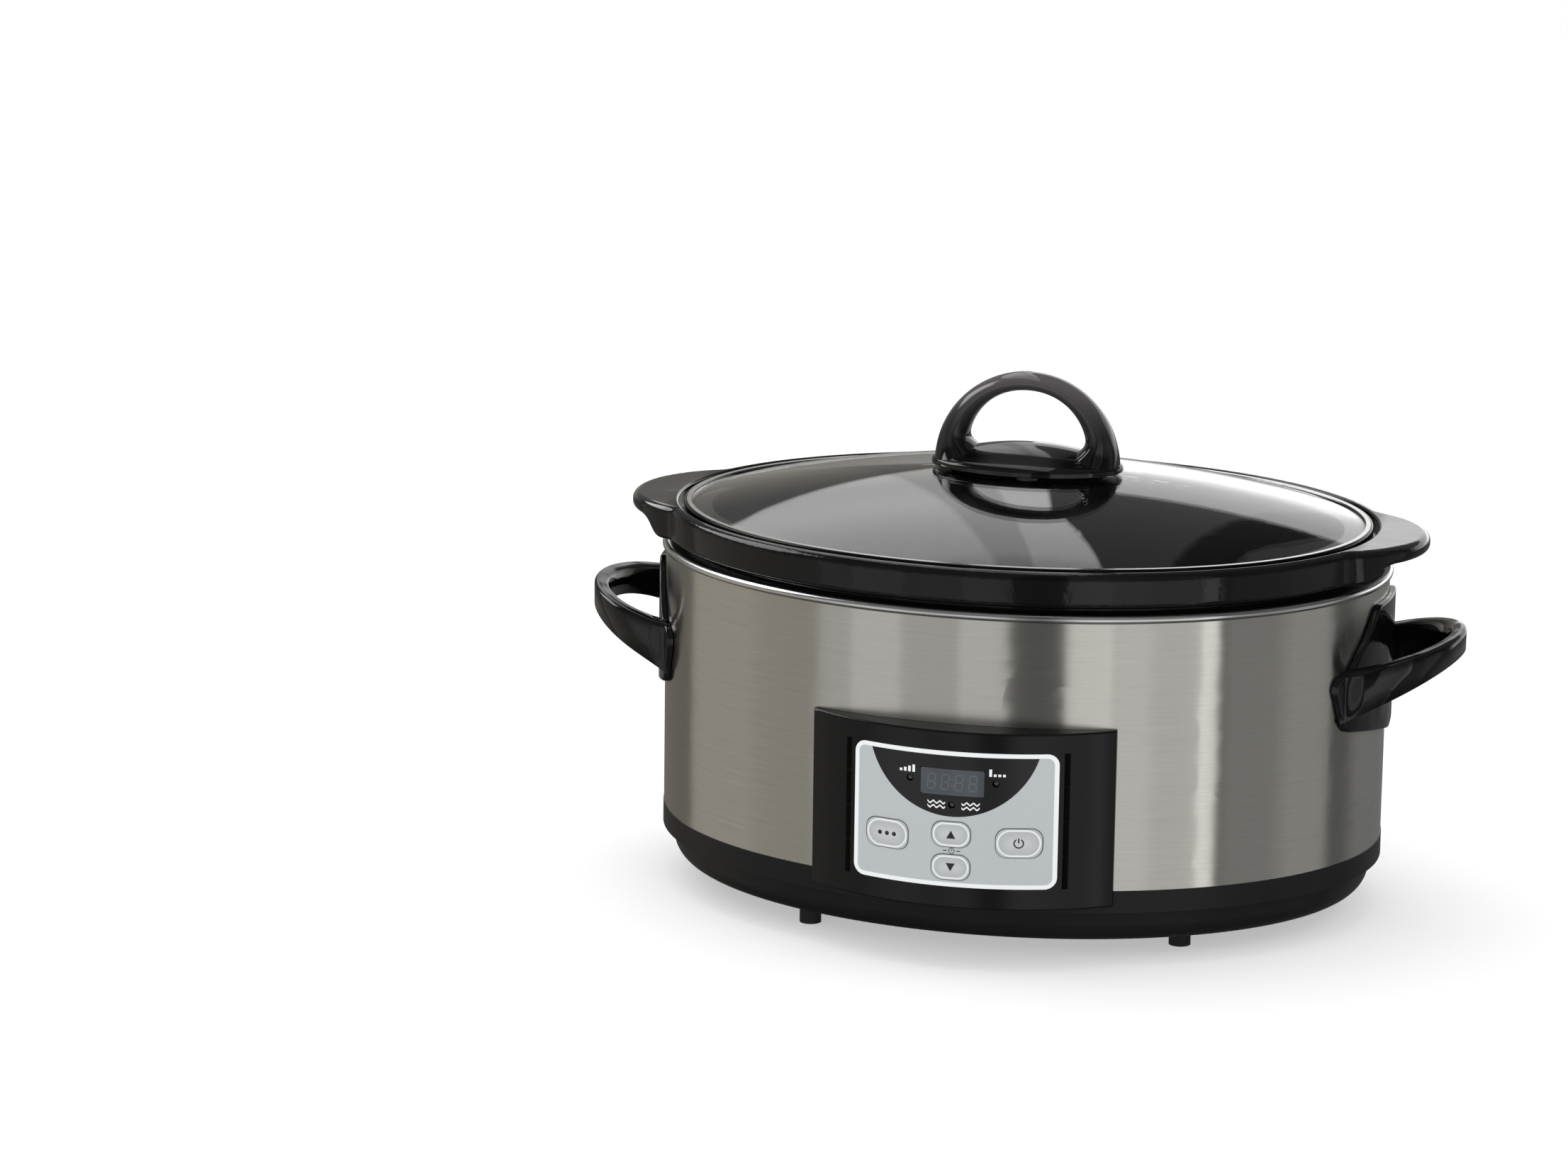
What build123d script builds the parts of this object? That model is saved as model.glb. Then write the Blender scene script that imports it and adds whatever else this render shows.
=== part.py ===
import os
from math import cos, radians, sin, sqrt

from build123d import *

os.makedirs("parts", exist_ok=True)

# Driving dimensions, in millimetres. The front of the cooker faces -Y and the table is at Z = 0.

# Oval steel wrap: half the length, half the depth, height and sheet thickness
wrap_half_length = 178.5
wrap_half_depth = 140.2
wrap_height = 130.7
wrap_thickness = 0.8
wrap_seams = (45, 225)

# Moulded base: a drafted bowl under a straight skirt, with a lip that centres the wrap
foot_height = 8.8
bowl_height = 17.5
bowl_inset = 4.0
bowl_draft = 3.5
bowl_edge_radius = 12.0
base_wall = 2.5
skirt_height = 10.7
skirt_overhang = 0.3
lip_height = 7.0
lip_clearance = 0.3

# Four push-in feet on a circle that is turned a little against the panel
foot_diameter = 10.5
foot_stem_diameter = 5.0
foot_edge_inset = 13.7
foot_start_angle = 49.8

# Heating well: a drawn pan whose flange ends in a bead curled over the top of the wrap
rim_bead_radius = 2.0
well_sheet = 0.8
well_floor_space = 32.5
well_draft = 11.0
well_edge_radius = 13.0

# Stoneware crock: rim band, seat ring, drafted wall, floor and the two lugs
crock_rim_inset = 0.5
crock_band_height = 17.0
crock_band_rounding = 4.0
crock_band_lower_rounding = 3.0
crock_seat_inset = 6.5
crock_seat_height = 4.1
crock_wall_inset = 15.6
crock_wall_thickness = 7.5
crock_floor_thickness = 9.0
crock_draft = 11.0
crock_edge_radius = 12.0
crock_cavity_radius = 15.0
crock_well_clearance = 3.0
crock_floor_clearance = 4.0
lug_reach = 19.8
lug_radius = 54.3
lug_blend_radius = 14.0
lug_thickness = 8.0
lug_root_inset = 6.0
lug_root_run = 14.0

# Lid: steel channel round a domed glass, in a recess of the crock rim
lid_recess_inset = 6.2
lid_recess_depth = 4.6
lid_recess_rounding = 1.2
lid_rim_gap = 2.6
lid_rim_width = 3.6
lid_rim_height = 5.0
lid_rim_sheet = 0.8
lid_rim_rounding = 1.2
glass_thickness = 3.2
glass_fit = 0.15
dome_rise = 21.5
dome_start_inset = 3.2
dome_steps = (1.0, 0.82, 0.6, 0.35, 0.1)

# Lid knob: an arch on an oval foot with a low mound, held by one screw through the glass
knob_half_length = 47.5
knob_half_depth = 28.0
knob_foot_height = 2.5
knob_opening_half = 30.3
knob_opening_rise = 22.0
knob_opening_centre = 14.0
arch_radius = 46.0
arch_inset = 0.6
arch_strap_half = 10.0
arch_neck = 34.0
arch_lean = 0.9
arch_rounding = 3.5
mound_half_length = 33.0
mound_half_depth = 20.0
mound_rise = 8.3
mound_angles = (0, 20, 40, 58, 74)
seal_thickness = 1.0
seal_half_length = 38.0
seal_half_depth = 20.0
seal_gap = 0.3
knob_screw_diameter = 5.0
knob_screw_head_diameter = 10.0
knob_screw_head_height = 3.5
knob_screw_reach = 8.0
knob_washer_diameter = 18.0
knob_washer_thickness = 1.2

# Side handles: a shield plate on the wrap and a loop that rises outwards
handle_gap = 0.3
plate_thickness = 2.8
plate_bottom = 93.0
plate_height = 65.8
plate_peak_half = 24.0
plate_neck_half = 48.5
plate_neck_height = 39.0
plate_wing_half = 61.5
plate_wing_height = 36.5
plate_toe_half = 53.0
plate_toe_height = 9.5
plate_corner_radius = 7.0
plate_rounding = 1.2
loop_root_inset = 2.5
loop_reach = 41.0
loop_half_width = 52.0
loop_strap = 7.0
loop_flare_angle = 72
loop_flare_half = 60.0
loop_flare_inset = 19.5
loop_flare_lean = 1.2
loop_root_bottom = 112.0
loop_root_height = 22.0
loop_bottom_slope = 0.52
loop_top_slope = 0.27
loop_rounding = 2.4
handle_screw_spacing = 42.0
handle_screw_lowest = 104.0

# Control panel: a bowed black housing in front of the wrap
panel_half_width = 72.8
panel_bottom = 30.0
panel_height = 85.3
panel_edge_reach = 2.0
panel_reach = 14.5
panel_wall = 2.5
panel_gap = 0.3
panel_edge_rounding = 1.0
slot_offset = 52.3
slot_width = 2.6
slot_rib = 1.6
slot_windows = 4

# Printed overlay with the window, the lamps and the keys
overlay_width = 98.0
overlay_height = 65.6
overlay_middle = 73.2
overlay_corner_radius = 5.5
overlay_recess = 0.5
overlay_thickness = 0.6
overlay_fit = 0.15
window_width = 30.4
window_height = 12.6
window_middle = 90.9
window_thickness = 1.8
window_fit = 0.15
window_corner_radius = 0.8
lamp_diameter = 3.0
lamp_fit = 0.2
lamp_spread = 20.5
lamp_row = 91.4
warm_lamp_row = 80.1

# Keys: two large ones at the sides and a pair in the middle
side_key_width = 21.0
side_key_height = 13.8
side_key_offset = 31.6
side_key_row = 63.0
time_key_width = 18.3
time_key_height = 12.0
time_up_row = 65.9
time_down_row = 50.0
key_corner_radius = 5.4
key_fit = 0.4
key_proud = 0.5
key_skirt = 1.0
key_skirt_thickness = 1.2
key_stem_diameter = 4.0
key_travel = 0.6
key_seat_gap = 0.3
key_stem_gap = 0.2

# Control board behind the panel with its display, lamps and switches
board_width = 80.0
board_height = 62.0
board_thickness = 1.6
board_depth = 12.4
board_hole_spread = 72.0
board_hole_rise = 55.0
boss_diameter = 6.0
display_depth = 7.2
lamp_recess = 0.6
lamp_collar_diameter = 3.8
lamp_collar_height = 1.0
switch_size = 6.0
switch_height = 1.5
plunger_diameter = 3.4
plunger_height = 0.5

# Screws shared by the boards, the panel and the handles
screw_diameter = 3.0
screw_head_diameter = 5.6
screw_head_height = 1.8
screw_fit = 0.2
board_screw_bite = 2.2
panel_screw_spread = 28.0
panel_screw_row = 108.8
panel_screw_bite = 6.0
handle_screw_bite = 2.0

# Heater: a flat band clamped round the lower wall of the well, with its fuse
band_lift = 22.0
band_height = 46.0
band_thickness = 1.6
band_gap = 0.3
band_split = 12.0
band_ear_reach = 11.0
band_ear_hole = 7.3
band_ear_height = 16.0
band_ear_thickness = 1.6
clamp_bolt_diameter = 3.0
clamp_head_diameter = 6.0
clamp_head_height = 2.4
fuse_diameter = 4.2
fuse_length = 12.0

# Centre stud that pulls the well, the shield and the base together
stud_diameter = 6.0
stud_plate_diameter = 26.0
stud_plate_thickness = 1.5
stud_shoulder_diameter = 12.0
stud_fit = 0.3
shield_gap = 5.5
shield_inset = 34.0
shield_sheet = 0.6
shield_rim_height = 3.0
sleeve_diameter = 13.0
washer_diameter = 20.0
washer_thickness = 1.2
nut_across_corners = 11.5
nut_height = 4.8

# Power board on the floor of the base, with its relay, transformer and capacitor
power_board_length = 84.0
power_board_width = 48.0
power_board_offset = -62.0
power_boss_height = 6.0
power_hole_inset = 4.5
relay_length = 19.0
relay_width = 15.5
relay_height = 15.0
transformer_length = 24.0
transformer_width = 20.0
transformer_height = 15.5
capacitor_diameter = 10.0
capacitor_height = 14.0
power_part_spread = 24.0

# Cord gland at the back of the skirt
gland_width = 14.0
gland_height = 8.4
gland_collar = 2.0
gland_collar_rim = 0.8
gland_bore = 5.6
gland_sleeve_diameter = 9.0
gland_sleeve_length = 9.5
gland_fit = 0.15

# Levels and places that follow from the dimensions above
base_floor = foot_height + base_wall
skirt_bottom = foot_height + bowl_height
skirt_top = skirt_bottom + skirt_height
foot_circle_radius = wrap_half_depth - foot_edge_inset
bead_level = skirt_top + wrap_height
flange_top = bead_level + well_sheet / 2
well_bottom = base_floor + well_floor_space
well_floor = well_bottom + well_sheet
well_top_inset = crock_wall_inset - crock_well_clearance
well_floor_inset = well_top_inset + well_draft
crock_bottom = well_floor + crock_floor_clearance
crock_band_bottom = flange_top + crock_seat_height
crock_top = crock_band_bottom + crock_band_height
lid_ledge = crock_top - lid_recess_depth
lid_rim_outer = lid_recess_inset + lid_rim_gap
glass_inset = lid_rim_outer + lid_rim_sheet + glass_fit
glass_bottom = lid_ledge + lid_rim_sheet + glass_fit
glass_top = glass_bottom + glass_thickness
dome_inset = glass_inset + dome_start_inset
dome_top = glass_top + dome_rise
panel_front = -(wrap_half_depth + panel_reach)
panel_back = -(skirt_overhang + panel_gap)
panel_end_share = sqrt(1 - (panel_half_width / (wrap_half_length - panel_back)) ** 2)
panel_sag = panel_reach + panel_back - panel_edge_reach
panel_sag += (wrap_half_depth - panel_back) * (1 - panel_end_share)
panel_bow_radius = (panel_half_width**2 + panel_sag**2) / (2 * panel_sag)
panel_axis = panel_front + panel_bow_radius
panel_top = panel_bottom + panel_height
face_radius = panel_bow_radius - overlay_recess
inner_radius = panel_bow_radius - panel_wall
board_front = panel_front + board_depth
board_back = board_front + board_thickness
shield_top = well_bottom - shield_gap
power_board_bottom = base_floor + power_boss_height
power_board_top = power_board_bottom + board_thickness

# The panel plane looks forward, with its X to the right and its Y up
front_plane = Plane(origin=(0, panel_front, 0), x_dir=(1, 0, 0), z_dir=(0, -1, 0))
face_reach = 2 * panel_reach + board_depth


def oval(inset, mode=Mode.ADD):
    """The body's oval, drawn in by an inset."""
    return Ellipse(wrap_half_length - inset, wrap_half_depth - inset, mode=mode)


def oval_dish(top_inset, floor_inset, floor, top, edge_radius):
    """A drafted oval block with a flat floor and a rounded lower edge."""
    with BuildPart() as dish:
        with BuildSketch(Plane.XY.offset(floor)):
            oval(floor_inset)
        with BuildSketch(Plane.XY.offset(top)):
            oval(top_inset)
        loft()
        fillet(dish.faces().sort_by(Axis.Z)[0].edges(), edge_radius)
    return dish.part


def oval_ring(outer_inset, inner_inset, bottom, height):
    """A straight oval ring."""
    with BuildPart() as ring:
        with BuildSketch(Plane.XY.offset(bottom)):
            oval(outer_inset)
            oval(inner_inset, mode=Mode.SUBTRACT)
        extrude(amount=height)
    return ring.part


def dome(base, rise, inset):
    """A low oval dome that stands on a level and ends in a small flat crown."""
    full = 1 - dome_steps[-1] ** 2
    with BuildPart() as cap:
        for share in dome_steps:
            with BuildSketch(Plane.XY.offset(base + rise * (1 - share**2) / full)):
                Ellipse((wrap_half_length - inset) * share, (wrap_half_depth - inset) * share)
        loft()
    return cap.part


def bowed_slab(outer_radius, slab_inner_radius, width, height, middle, corner_radius, sideways=0.0):
    """A rounded plate that follows the bow of the panel between two radii."""
    with BuildPart() as slab:
        with BuildSketch(Plane.XY.offset(middle - height / 2)):
            with Locations((0, panel_axis)):
                Circle(outer_radius)
                Circle(slab_inner_radius, mode=Mode.SUBTRACT)
        extrude(amount=height)
        with BuildSketch(front_plane.offset(panel_reach)):
            with Locations((sideways, middle)):
                RectangleRounded(width, height, corner_radius)
        extrude(amount=-(face_reach + panel_reach), mode=Mode.INTERSECT)
    return slab.part


def face_depth(sideways, radius):
    """Y of the bowed panel at a distance from its middle."""
    return panel_axis - sqrt(radius**2 - sideways**2)


def well_wall_inset(level):
    """Inset of the well's outer wall at a level."""
    share = (level - well_bottom) / (flange_top - well_bottom)
    return well_floor_inset - well_sheet - well_draft * share


# Moulded base: bowl, skirt, wrap lip, board bosses and holes for the feet, the stud and the gland
bowl_outside = oval_dish(
    bowl_inset, bowl_inset + bowl_draft, foot_height, skirt_bottom, bowl_edge_radius
)
bowl_inside = oval_dish(
    bowl_inset + base_wall,
    bowl_inset + bowl_draft + base_wall,
    base_floor,
    skirt_bottom + base_wall,
    bowl_edge_radius - base_wall,
)
lip_inset = wrap_thickness + lip_clearance
power_holes = [
    (
        across * (power_board_length / 2 - power_hole_inset),
        power_board_offset + along * (power_board_width / 2 - power_hole_inset),
    )
    for across in (1, -1)
    for along in (1, -1)
]
gland_level = skirt_bottom + skirt_height / 2
with BuildPart() as base_pan:
    add(bowl_outside)
    with BuildSketch(Plane.XY.offset(skirt_bottom)):
        oval(-skirt_overhang)
    extrude(amount=skirt_height)
    with BuildSketch(Plane.XY.offset(skirt_top)):
        oval(lip_inset)
    extrude(amount=lip_height)
    add(bowl_inside, mode=Mode.SUBTRACT)
    with BuildSketch(Plane.XY.offset(skirt_bottom + base_wall)):
        oval(lip_inset + base_wall)
    extrude(amount=skirt_height + lip_height - base_wall, mode=Mode.SUBTRACT)
    with BuildSketch(Plane.XY.offset(base_floor)):
        with Locations(*power_holes):
            Circle(boss_diameter / 2)
            Circle(screw_diameter / 2 + screw_fit / 2, mode=Mode.SUBTRACT)
    extrude(amount=power_boss_height)
    with BuildSketch(Plane.XY.offset(foot_height)):
        Circle(stud_diameter / 2 + stud_fit)
        with PolarLocations(foot_circle_radius, 4, start_angle=foot_start_angle):
            Circle(foot_stem_diameter / 2 + lip_clearance)
    extrude(amount=base_wall, mode=Mode.SUBTRACT)
    with BuildSketch(Plane.XZ.offset(-wrap_half_depth - skirt_overhang)):
        with Locations((0, gland_level)):
            Rectangle(gland_width, gland_height)
    extrude(amount=2 * base_wall + lip_inset + skirt_overhang, mode=Mode.SUBTRACT)

with BuildPart() as feet:
    with BuildSketch():
        with PolarLocations(foot_circle_radius, 4, start_angle=foot_start_angle):
            Circle(foot_diameter / 2)
    extrude(amount=foot_height)
    with BuildSketch(Plane.XY.offset(foot_height)):
        with PolarLocations(foot_circle_radius, 4, start_angle=foot_start_angle):
            Circle(foot_stem_diameter / 2)
    extrude(amount=base_wall)

# Cord gland: a bushing in the back of the skirt with a collar on the outside
gland_wall = lip_inset + base_wall + skirt_overhang
with BuildPart() as cord_gland:
    with BuildSketch(Plane.XZ.offset(-wrap_half_depth - skirt_overhang)):
        with Locations((0, gland_level)):
            Rectangle(gland_width - 2 * gland_fit, gland_height - 2 * gland_fit)
    extrude(amount=gland_wall)
    with BuildSketch(Plane.XZ.offset(-wrap_half_depth - skirt_overhang)):
        with Locations((0, gland_level)):
            RectangleRounded(
                gland_width + 2 * gland_collar_rim, gland_height + 2 * gland_collar_rim, gland_collar
            )
    extrude(amount=-gland_collar)
    with BuildSketch(Plane.XZ.offset(-wrap_half_depth - skirt_overhang - gland_collar)):
        with Locations((0, gland_level)):
            Circle(gland_sleeve_diameter / 2)
    extrude(amount=-gland_sleeve_length)
    with BuildSketch(Plane.XZ.offset(-wrap_half_depth)):
        with Locations((0, gland_level)):
            Circle(gland_bore / 2)
    extrude(amount=gland_wall + gland_collar + gland_sleeve_length, both=True, mode=Mode.SUBTRACT)

# Steel wrap: an oval sleeve with a window behind the panel and holes for the screws
with BuildPart() as steel_wrap:
    with BuildSketch(Plane.XY.offset(skirt_top)):
        for inset, mode in ((0, Mode.ADD), (wrap_thickness, Mode.SUBTRACT)):
            with BuildLine():
                for seam in wrap_seams:
                    EllipticalCenterArc(
                        (0, 0),
                        wrap_half_length - inset,
                        wrap_half_depth - inset,
                        start_angle=seam,
                        arc_size=180,
                    )
            make_face(mode=mode)
    extrude(amount=wrap_height)
    with BuildSketch(front_plane):
        with Locations((0, overlay_middle)):
            RectangleRounded(board_width, board_height, overlay_corner_radius)
        with Locations((0, panel_screw_row)):
            with GridLocations(panel_screw_spread, 1, 2, 1):
                Circle(screw_diameter / 2 + screw_fit)
    extrude(amount=-wrap_half_depth, mode=Mode.SUBTRACT)
    with BuildSketch(Plane.YZ):
        with Locations((0, handle_screw_lowest + handle_screw_spacing / 2)):
            with GridLocations(1, handle_screw_spacing, 1, 2):
                Circle(screw_diameter / 2 + screw_fit)
    extrude(amount=wrap_half_length + plate_thickness, both=True, mode=Mode.SUBTRACT)

# Heating well: drawn pan, flange and the bead curled over the top edge of the wrap
well_outside = oval_dish(
    well_top_inset - well_sheet, well_floor_inset - well_sheet, well_bottom, flange_top, well_edge_radius
)
well_inside = oval_dish(
    well_top_inset, well_floor_inset, well_floor, flange_top, well_edge_radius - well_sheet
)
bead_inset = wrap_thickness / 2
bead_slot = wrap_thickness + 2 * lip_clearance
flange = oval_ring(
    bead_inset + rim_bead_radius - well_sheet / 2,
    well_top_inset,
    flange_top - well_sheet,
    well_sheet,
)
bead_mouth = oval_ring(
    bead_inset - bead_slot / 2,
    bead_inset + bead_slot / 2,
    bead_level - rim_bead_radius,
    rim_bead_radius,
)
with BuildPart() as heating_well:
    add(well_outside)
    add(well_inside, mode=Mode.SUBTRACT)
    add(flange)
    with BuildLine(Plane.XY.offset(bead_level)) as bead_path:
        EllipticalCenterArc(
            (0, 0), wrap_half_length - bead_inset, wrap_half_depth - bead_inset, arc_size=360
        )
    with BuildSketch(Plane(origin=bead_path.line @ 0, x_dir=(1, 0, 0), z_dir=bead_path.line % 0)):
        Circle(rim_bead_radius)
        Circle(rim_bead_radius - well_sheet, mode=Mode.SUBTRACT)
    sweep(path=bead_path.line)
    add(bead_mouth, mode=Mode.SUBTRACT)
    with BuildSketch(Plane.XY.offset(well_bottom)):
        Circle(stud_diameter / 2 + stud_fit)
    extrude(amount=well_sheet, mode=Mode.SUBTRACT)

# Heater band round the well, split at the back where two ears take the clamp bolt
band_bottom = well_bottom + band_lift
band_top = band_bottom + band_height
band_middle = band_bottom + band_height / 2
ear_start = wrap_half_depth - well_wall_inset(band_middle) + band_gap
with BuildPart() as heater_band:
    with BuildSketch(Plane.XY.offset(band_bottom)):
        oval(well_wall_inset(band_bottom) - band_gap - band_thickness)
    with BuildSketch(Plane.XY.offset(band_top)):
        oval(well_wall_inset(band_top) - band_gap - band_thickness)
    loft()
    with BuildSketch(Plane.XY.offset(band_bottom)):
        oval(well_wall_inset(band_bottom) - band_gap)
    with BuildSketch(Plane.XY.offset(band_top)):
        oval(well_wall_inset(band_top) - band_gap)
    loft(mode=Mode.SUBTRACT)
    with BuildSketch(Plane.XY.offset(band_bottom)):
        with Locations((0, wrap_half_depth / 2)):
            Rectangle(band_split, wrap_half_depth)
    extrude(amount=band_height, mode=Mode.SUBTRACT)
    with BuildSketch(Plane.XY.offset(band_middle - band_ear_height / 2)):
        with Locations((0, ear_start + band_thickness / 2 + band_ear_reach / 2)):
            with GridLocations(band_split + band_ear_thickness, 1, 2, 1):
                Rectangle(band_ear_thickness, band_ear_reach)
    extrude(amount=band_ear_height)
    with BuildSketch(Plane.YZ):
        with Locations((ear_start + band_ear_hole, band_middle)):
            Circle(clamp_bolt_diameter / 2 + screw_fit)
    extrude(amount=band_split, both=True, mode=Mode.SUBTRACT)

# Clamp bolt with its head and nut outside the two ears
bolt_seat = band_split / 2 + band_ear_thickness
with BuildPart() as clamp_bolt:
    with BuildSketch(Plane.YZ):
        with Locations((ear_start + band_ear_hole, band_middle)):
            Circle(clamp_bolt_diameter / 2)
    extrude(amount=bolt_seat + clamp_head_height, both=True)
    for side in (1, -1):
        with BuildSketch(Plane.YZ.offset(side * bolt_seat)):
            with Locations((ear_start + band_ear_hole, band_middle)):
                RegularPolygon(clamp_head_diameter / 2, 6)
        extrude(amount=side * clamp_head_height)

# Thermal fuse on the outside of the band
fuse_reach = wrap_half_length - well_wall_inset(band_middle) + 2 * band_gap + band_thickness
with BuildPart() as thermal_fuse:
    with BuildSketch(Plane.XZ):
        with Locations((-fuse_reach - fuse_diameter / 2, band_middle)):
            Circle(fuse_diameter / 2)
    extrude(amount=fuse_length / 2, both=True)

# Centre stud with its plate under the well and a shoulder on the shield
with BuildPart() as well_stud:
    with BuildSketch(Plane.XY.offset(well_bottom)):
        Circle(stud_plate_diameter / 2)
    extrude(amount=-stud_plate_thickness)
    with BuildSketch(Plane.XY.offset(well_bottom)):
        Circle(stud_shoulder_diameter / 2)
    extrude(amount=-shield_gap)
    with BuildSketch(Plane.XY.offset(foot_height - washer_thickness - nut_height)):
        Circle(stud_diameter / 2)
    extrude(amount=well_floor + nut_height + washer_thickness - foot_height)

shield_rim = oval_ring(shield_inset, shield_inset + shield_sheet, shield_top, shield_rim_height)
with BuildPart() as heat_shield:
    with BuildSketch(Plane.XY.offset(shield_top - shield_sheet)):
        oval(shield_inset)
        Circle(stud_diameter / 2 + stud_fit, mode=Mode.SUBTRACT)
    extrude(amount=shield_sheet)
    add(shield_rim)

with BuildPart() as stud_sleeve:
    with BuildSketch(Plane.XY.offset(base_floor)):
        Circle(sleeve_diameter / 2)
        Circle(stud_diameter / 2 + stud_fit, mode=Mode.SUBTRACT)
    extrude(amount=shield_top - shield_sheet - base_floor)

with BuildPart() as stud_washer:
    with BuildSketch(Plane.XY.offset(foot_height)):
        Circle(washer_diameter / 2)
        Circle(stud_diameter / 2 + stud_fit, mode=Mode.SUBTRACT)
    extrude(amount=-washer_thickness)

with BuildPart() as stud_nut:
    with BuildSketch(Plane.XY.offset(foot_height - washer_thickness)):
        RegularPolygon(nut_across_corners / 2, 6)
        Circle(stud_diameter / 2 + screw_fit / 2, mode=Mode.SUBTRACT)
    extrude(amount=-nut_height)

# Power board on its bosses, with the parts that stand on it
with BuildPart() as power_board:
    with BuildSketch(Plane.XY.offset(power_board_bottom)):
        with Locations((0, power_board_offset)):
            Rectangle(power_board_length, power_board_width)
        with Locations(*power_holes):
            Circle(screw_diameter / 2 + screw_fit / 2, mode=Mode.SUBTRACT)
    extrude(amount=board_thickness)

with BuildPart() as power_relay:
    with BuildSketch(Plane.XY.offset(power_board_top)):
        with Locations((-power_part_spread, power_board_offset)):
            Rectangle(relay_length, relay_width)
    extrude(amount=relay_height)

with BuildPart() as supply_transformer:
    with BuildSketch(Plane.XY.offset(power_board_top)):
        with Locations((power_part_spread, power_board_offset)):
            Rectangle(transformer_length, transformer_width)
    extrude(amount=transformer_height)

with BuildPart() as filter_capacitor:
    with BuildSketch(Plane.XY.offset(power_board_top)):
        with Locations((0, power_board_offset)):
            Circle(capacitor_diameter / 2)
    extrude(amount=capacitor_height)

with BuildPart() as power_screws:
    with BuildSketch(Plane.XY.offset(base_floor)):
        with Locations(*power_holes):
            Circle(screw_diameter / 2)
    extrude(amount=power_boss_height + board_thickness)
    with BuildSketch(Plane.XY.offset(power_board_top)):
        with Locations(*power_holes):
            Circle(screw_head_diameter / 2)
    extrude(amount=screw_head_height)

# Control housing: bowed front, side vent slots, recess for the overlay and bosses behind
side_keys = ((-side_key_offset, side_key_row), (side_key_offset, side_key_row))
time_keys = ((0, time_up_row), (0, time_down_row))
lamp_places = ((-lamp_spread, lamp_row), (lamp_spread, lamp_row), (0, warm_lamp_row))
board_holes = [
    (across * board_hole_spread / 2, overlay_middle + up * board_hole_rise / 2)
    for across in (1, -1)
    for up in (1, -1)
]
screw_boss_depth = panel_reach - skirt_overhang - panel_gap
slot_height = (overlay_height - (slot_windows - 1) * slot_rib) / slot_windows
recess_cut = bowed_slab(
    panel_bow_radius + panel_reach,
    face_radius,
    overlay_width,
    overlay_height,
    overlay_middle,
    overlay_corner_radius,
)


def panel_section(radius, half_width):
    """The lens between the bowed front and the wrap."""
    with Locations((0, panel_axis)):
        Circle(radius)
    with Locations((0, panel_front)):
        Rectangle(2 * half_width, 2 * (panel_bow_radius - sqrt(radius**2 - half_width**2)) + radius,
                  mode=Mode.INTERSECT)
    oval(panel_back, mode=Mode.SUBTRACT)


with BuildPart() as control_housing:
    with BuildSketch(Plane.XY.offset(panel_bottom)):
        panel_section(panel_bow_radius, panel_half_width)
    extrude(amount=panel_height)
    front_face = control_housing.faces().filter_by(GeomType.CYLINDER).sort_by(Axis.Y)[0]
    fillet(front_face.edges(), panel_edge_rounding)
    with BuildSketch(Plane.XY.offset(panel_bottom + panel_wall)):
        panel_section(inner_radius, panel_half_width - panel_wall)
    extrude(amount=panel_height - 2 * panel_wall, mode=Mode.SUBTRACT)
    with BuildSketch(front_plane.offset(-board_depth)):
        with Locations(*board_holes):
            Circle(boss_diameter / 2)
    extrude(amount=board_front - face_depth(board_hole_spread / 2, inner_radius) + panel_wall / 2)
    with BuildSketch(front_plane.offset(-screw_boss_depth)):
        with Locations((0, panel_screw_row)):
            with GridLocations(panel_screw_spread, 1, 2, 1):
                Circle(boss_diameter / 2)
    extrude(amount=screw_boss_depth + panel_front - face_depth(panel_screw_spread / 2, inner_radius)
            + panel_wall / 2)
    add(recess_cut, mode=Mode.SUBTRACT)
    with BuildSketch(front_plane):
        for place in side_keys:
            with Locations(place):
                RectangleRounded(
                    side_key_width + 2 * key_fit, side_key_height + 2 * key_fit, key_corner_radius
                )
        for place in time_keys:
            with Locations(place):
                RectangleRounded(
                    time_key_width + 2 * key_fit, time_key_height + 2 * key_fit, key_corner_radius
                )
        with Locations((0, window_middle)):
            Rectangle(window_width + 2 * window_fit, window_height + 2 * window_fit)
        with Locations(*lamp_places):
            Circle(lamp_diameter / 2 + lamp_fit)
        with Locations((0, overlay_middle)):
            with GridLocations(2 * slot_offset, slot_height + slot_rib, 2, slot_windows):
                Rectangle(slot_width, slot_height)
    extrude(amount=-board_depth, mode=Mode.SUBTRACT)
    with BuildSketch(front_plane.offset(-board_depth)):
        with Locations(*board_holes):
            Circle(screw_diameter / 2 + screw_fit / 2)
    extrude(amount=board_screw_bite + screw_fit, mode=Mode.SUBTRACT)
    with BuildSketch(front_plane.offset(-panel_reach)):
        with Locations((0, panel_screw_row)):
            with GridLocations(panel_screw_spread, 1, 2, 1):
                Circle(screw_diameter / 2 + screw_fit / 2)
    extrude(amount=panel_screw_bite + screw_fit, mode=Mode.SUBTRACT)

# Printed overlay, cut for the keys, the window and the lamps
overlay_sheet = bowed_slab(
    face_radius + overlay_thickness,
    face_radius,
    overlay_width - 2 * overlay_fit,
    overlay_height - 2 * overlay_fit,
    overlay_middle,
    overlay_corner_radius,
)
with BuildPart() as control_overlay:
    add(overlay_sheet)
    with BuildSketch(front_plane.offset(panel_reach)):
        for place in side_keys:
            with Locations(place):
                RectangleRounded(
                    side_key_width + 2 * key_fit, side_key_height + 2 * key_fit, key_corner_radius
                )
        for place in time_keys:
            with Locations(place):
                RectangleRounded(
                    time_key_width + 2 * key_fit, time_key_height + 2 * key_fit, key_corner_radius
                )
        with Locations((0, window_middle)):
            Rectangle(window_width + 2 * window_fit, window_height + 2 * window_fit)
        with Locations(*lamp_places):
            Circle(lamp_diameter / 2 + lamp_fit)
    extrude(amount=-face_reach, mode=Mode.SUBTRACT)

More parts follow.
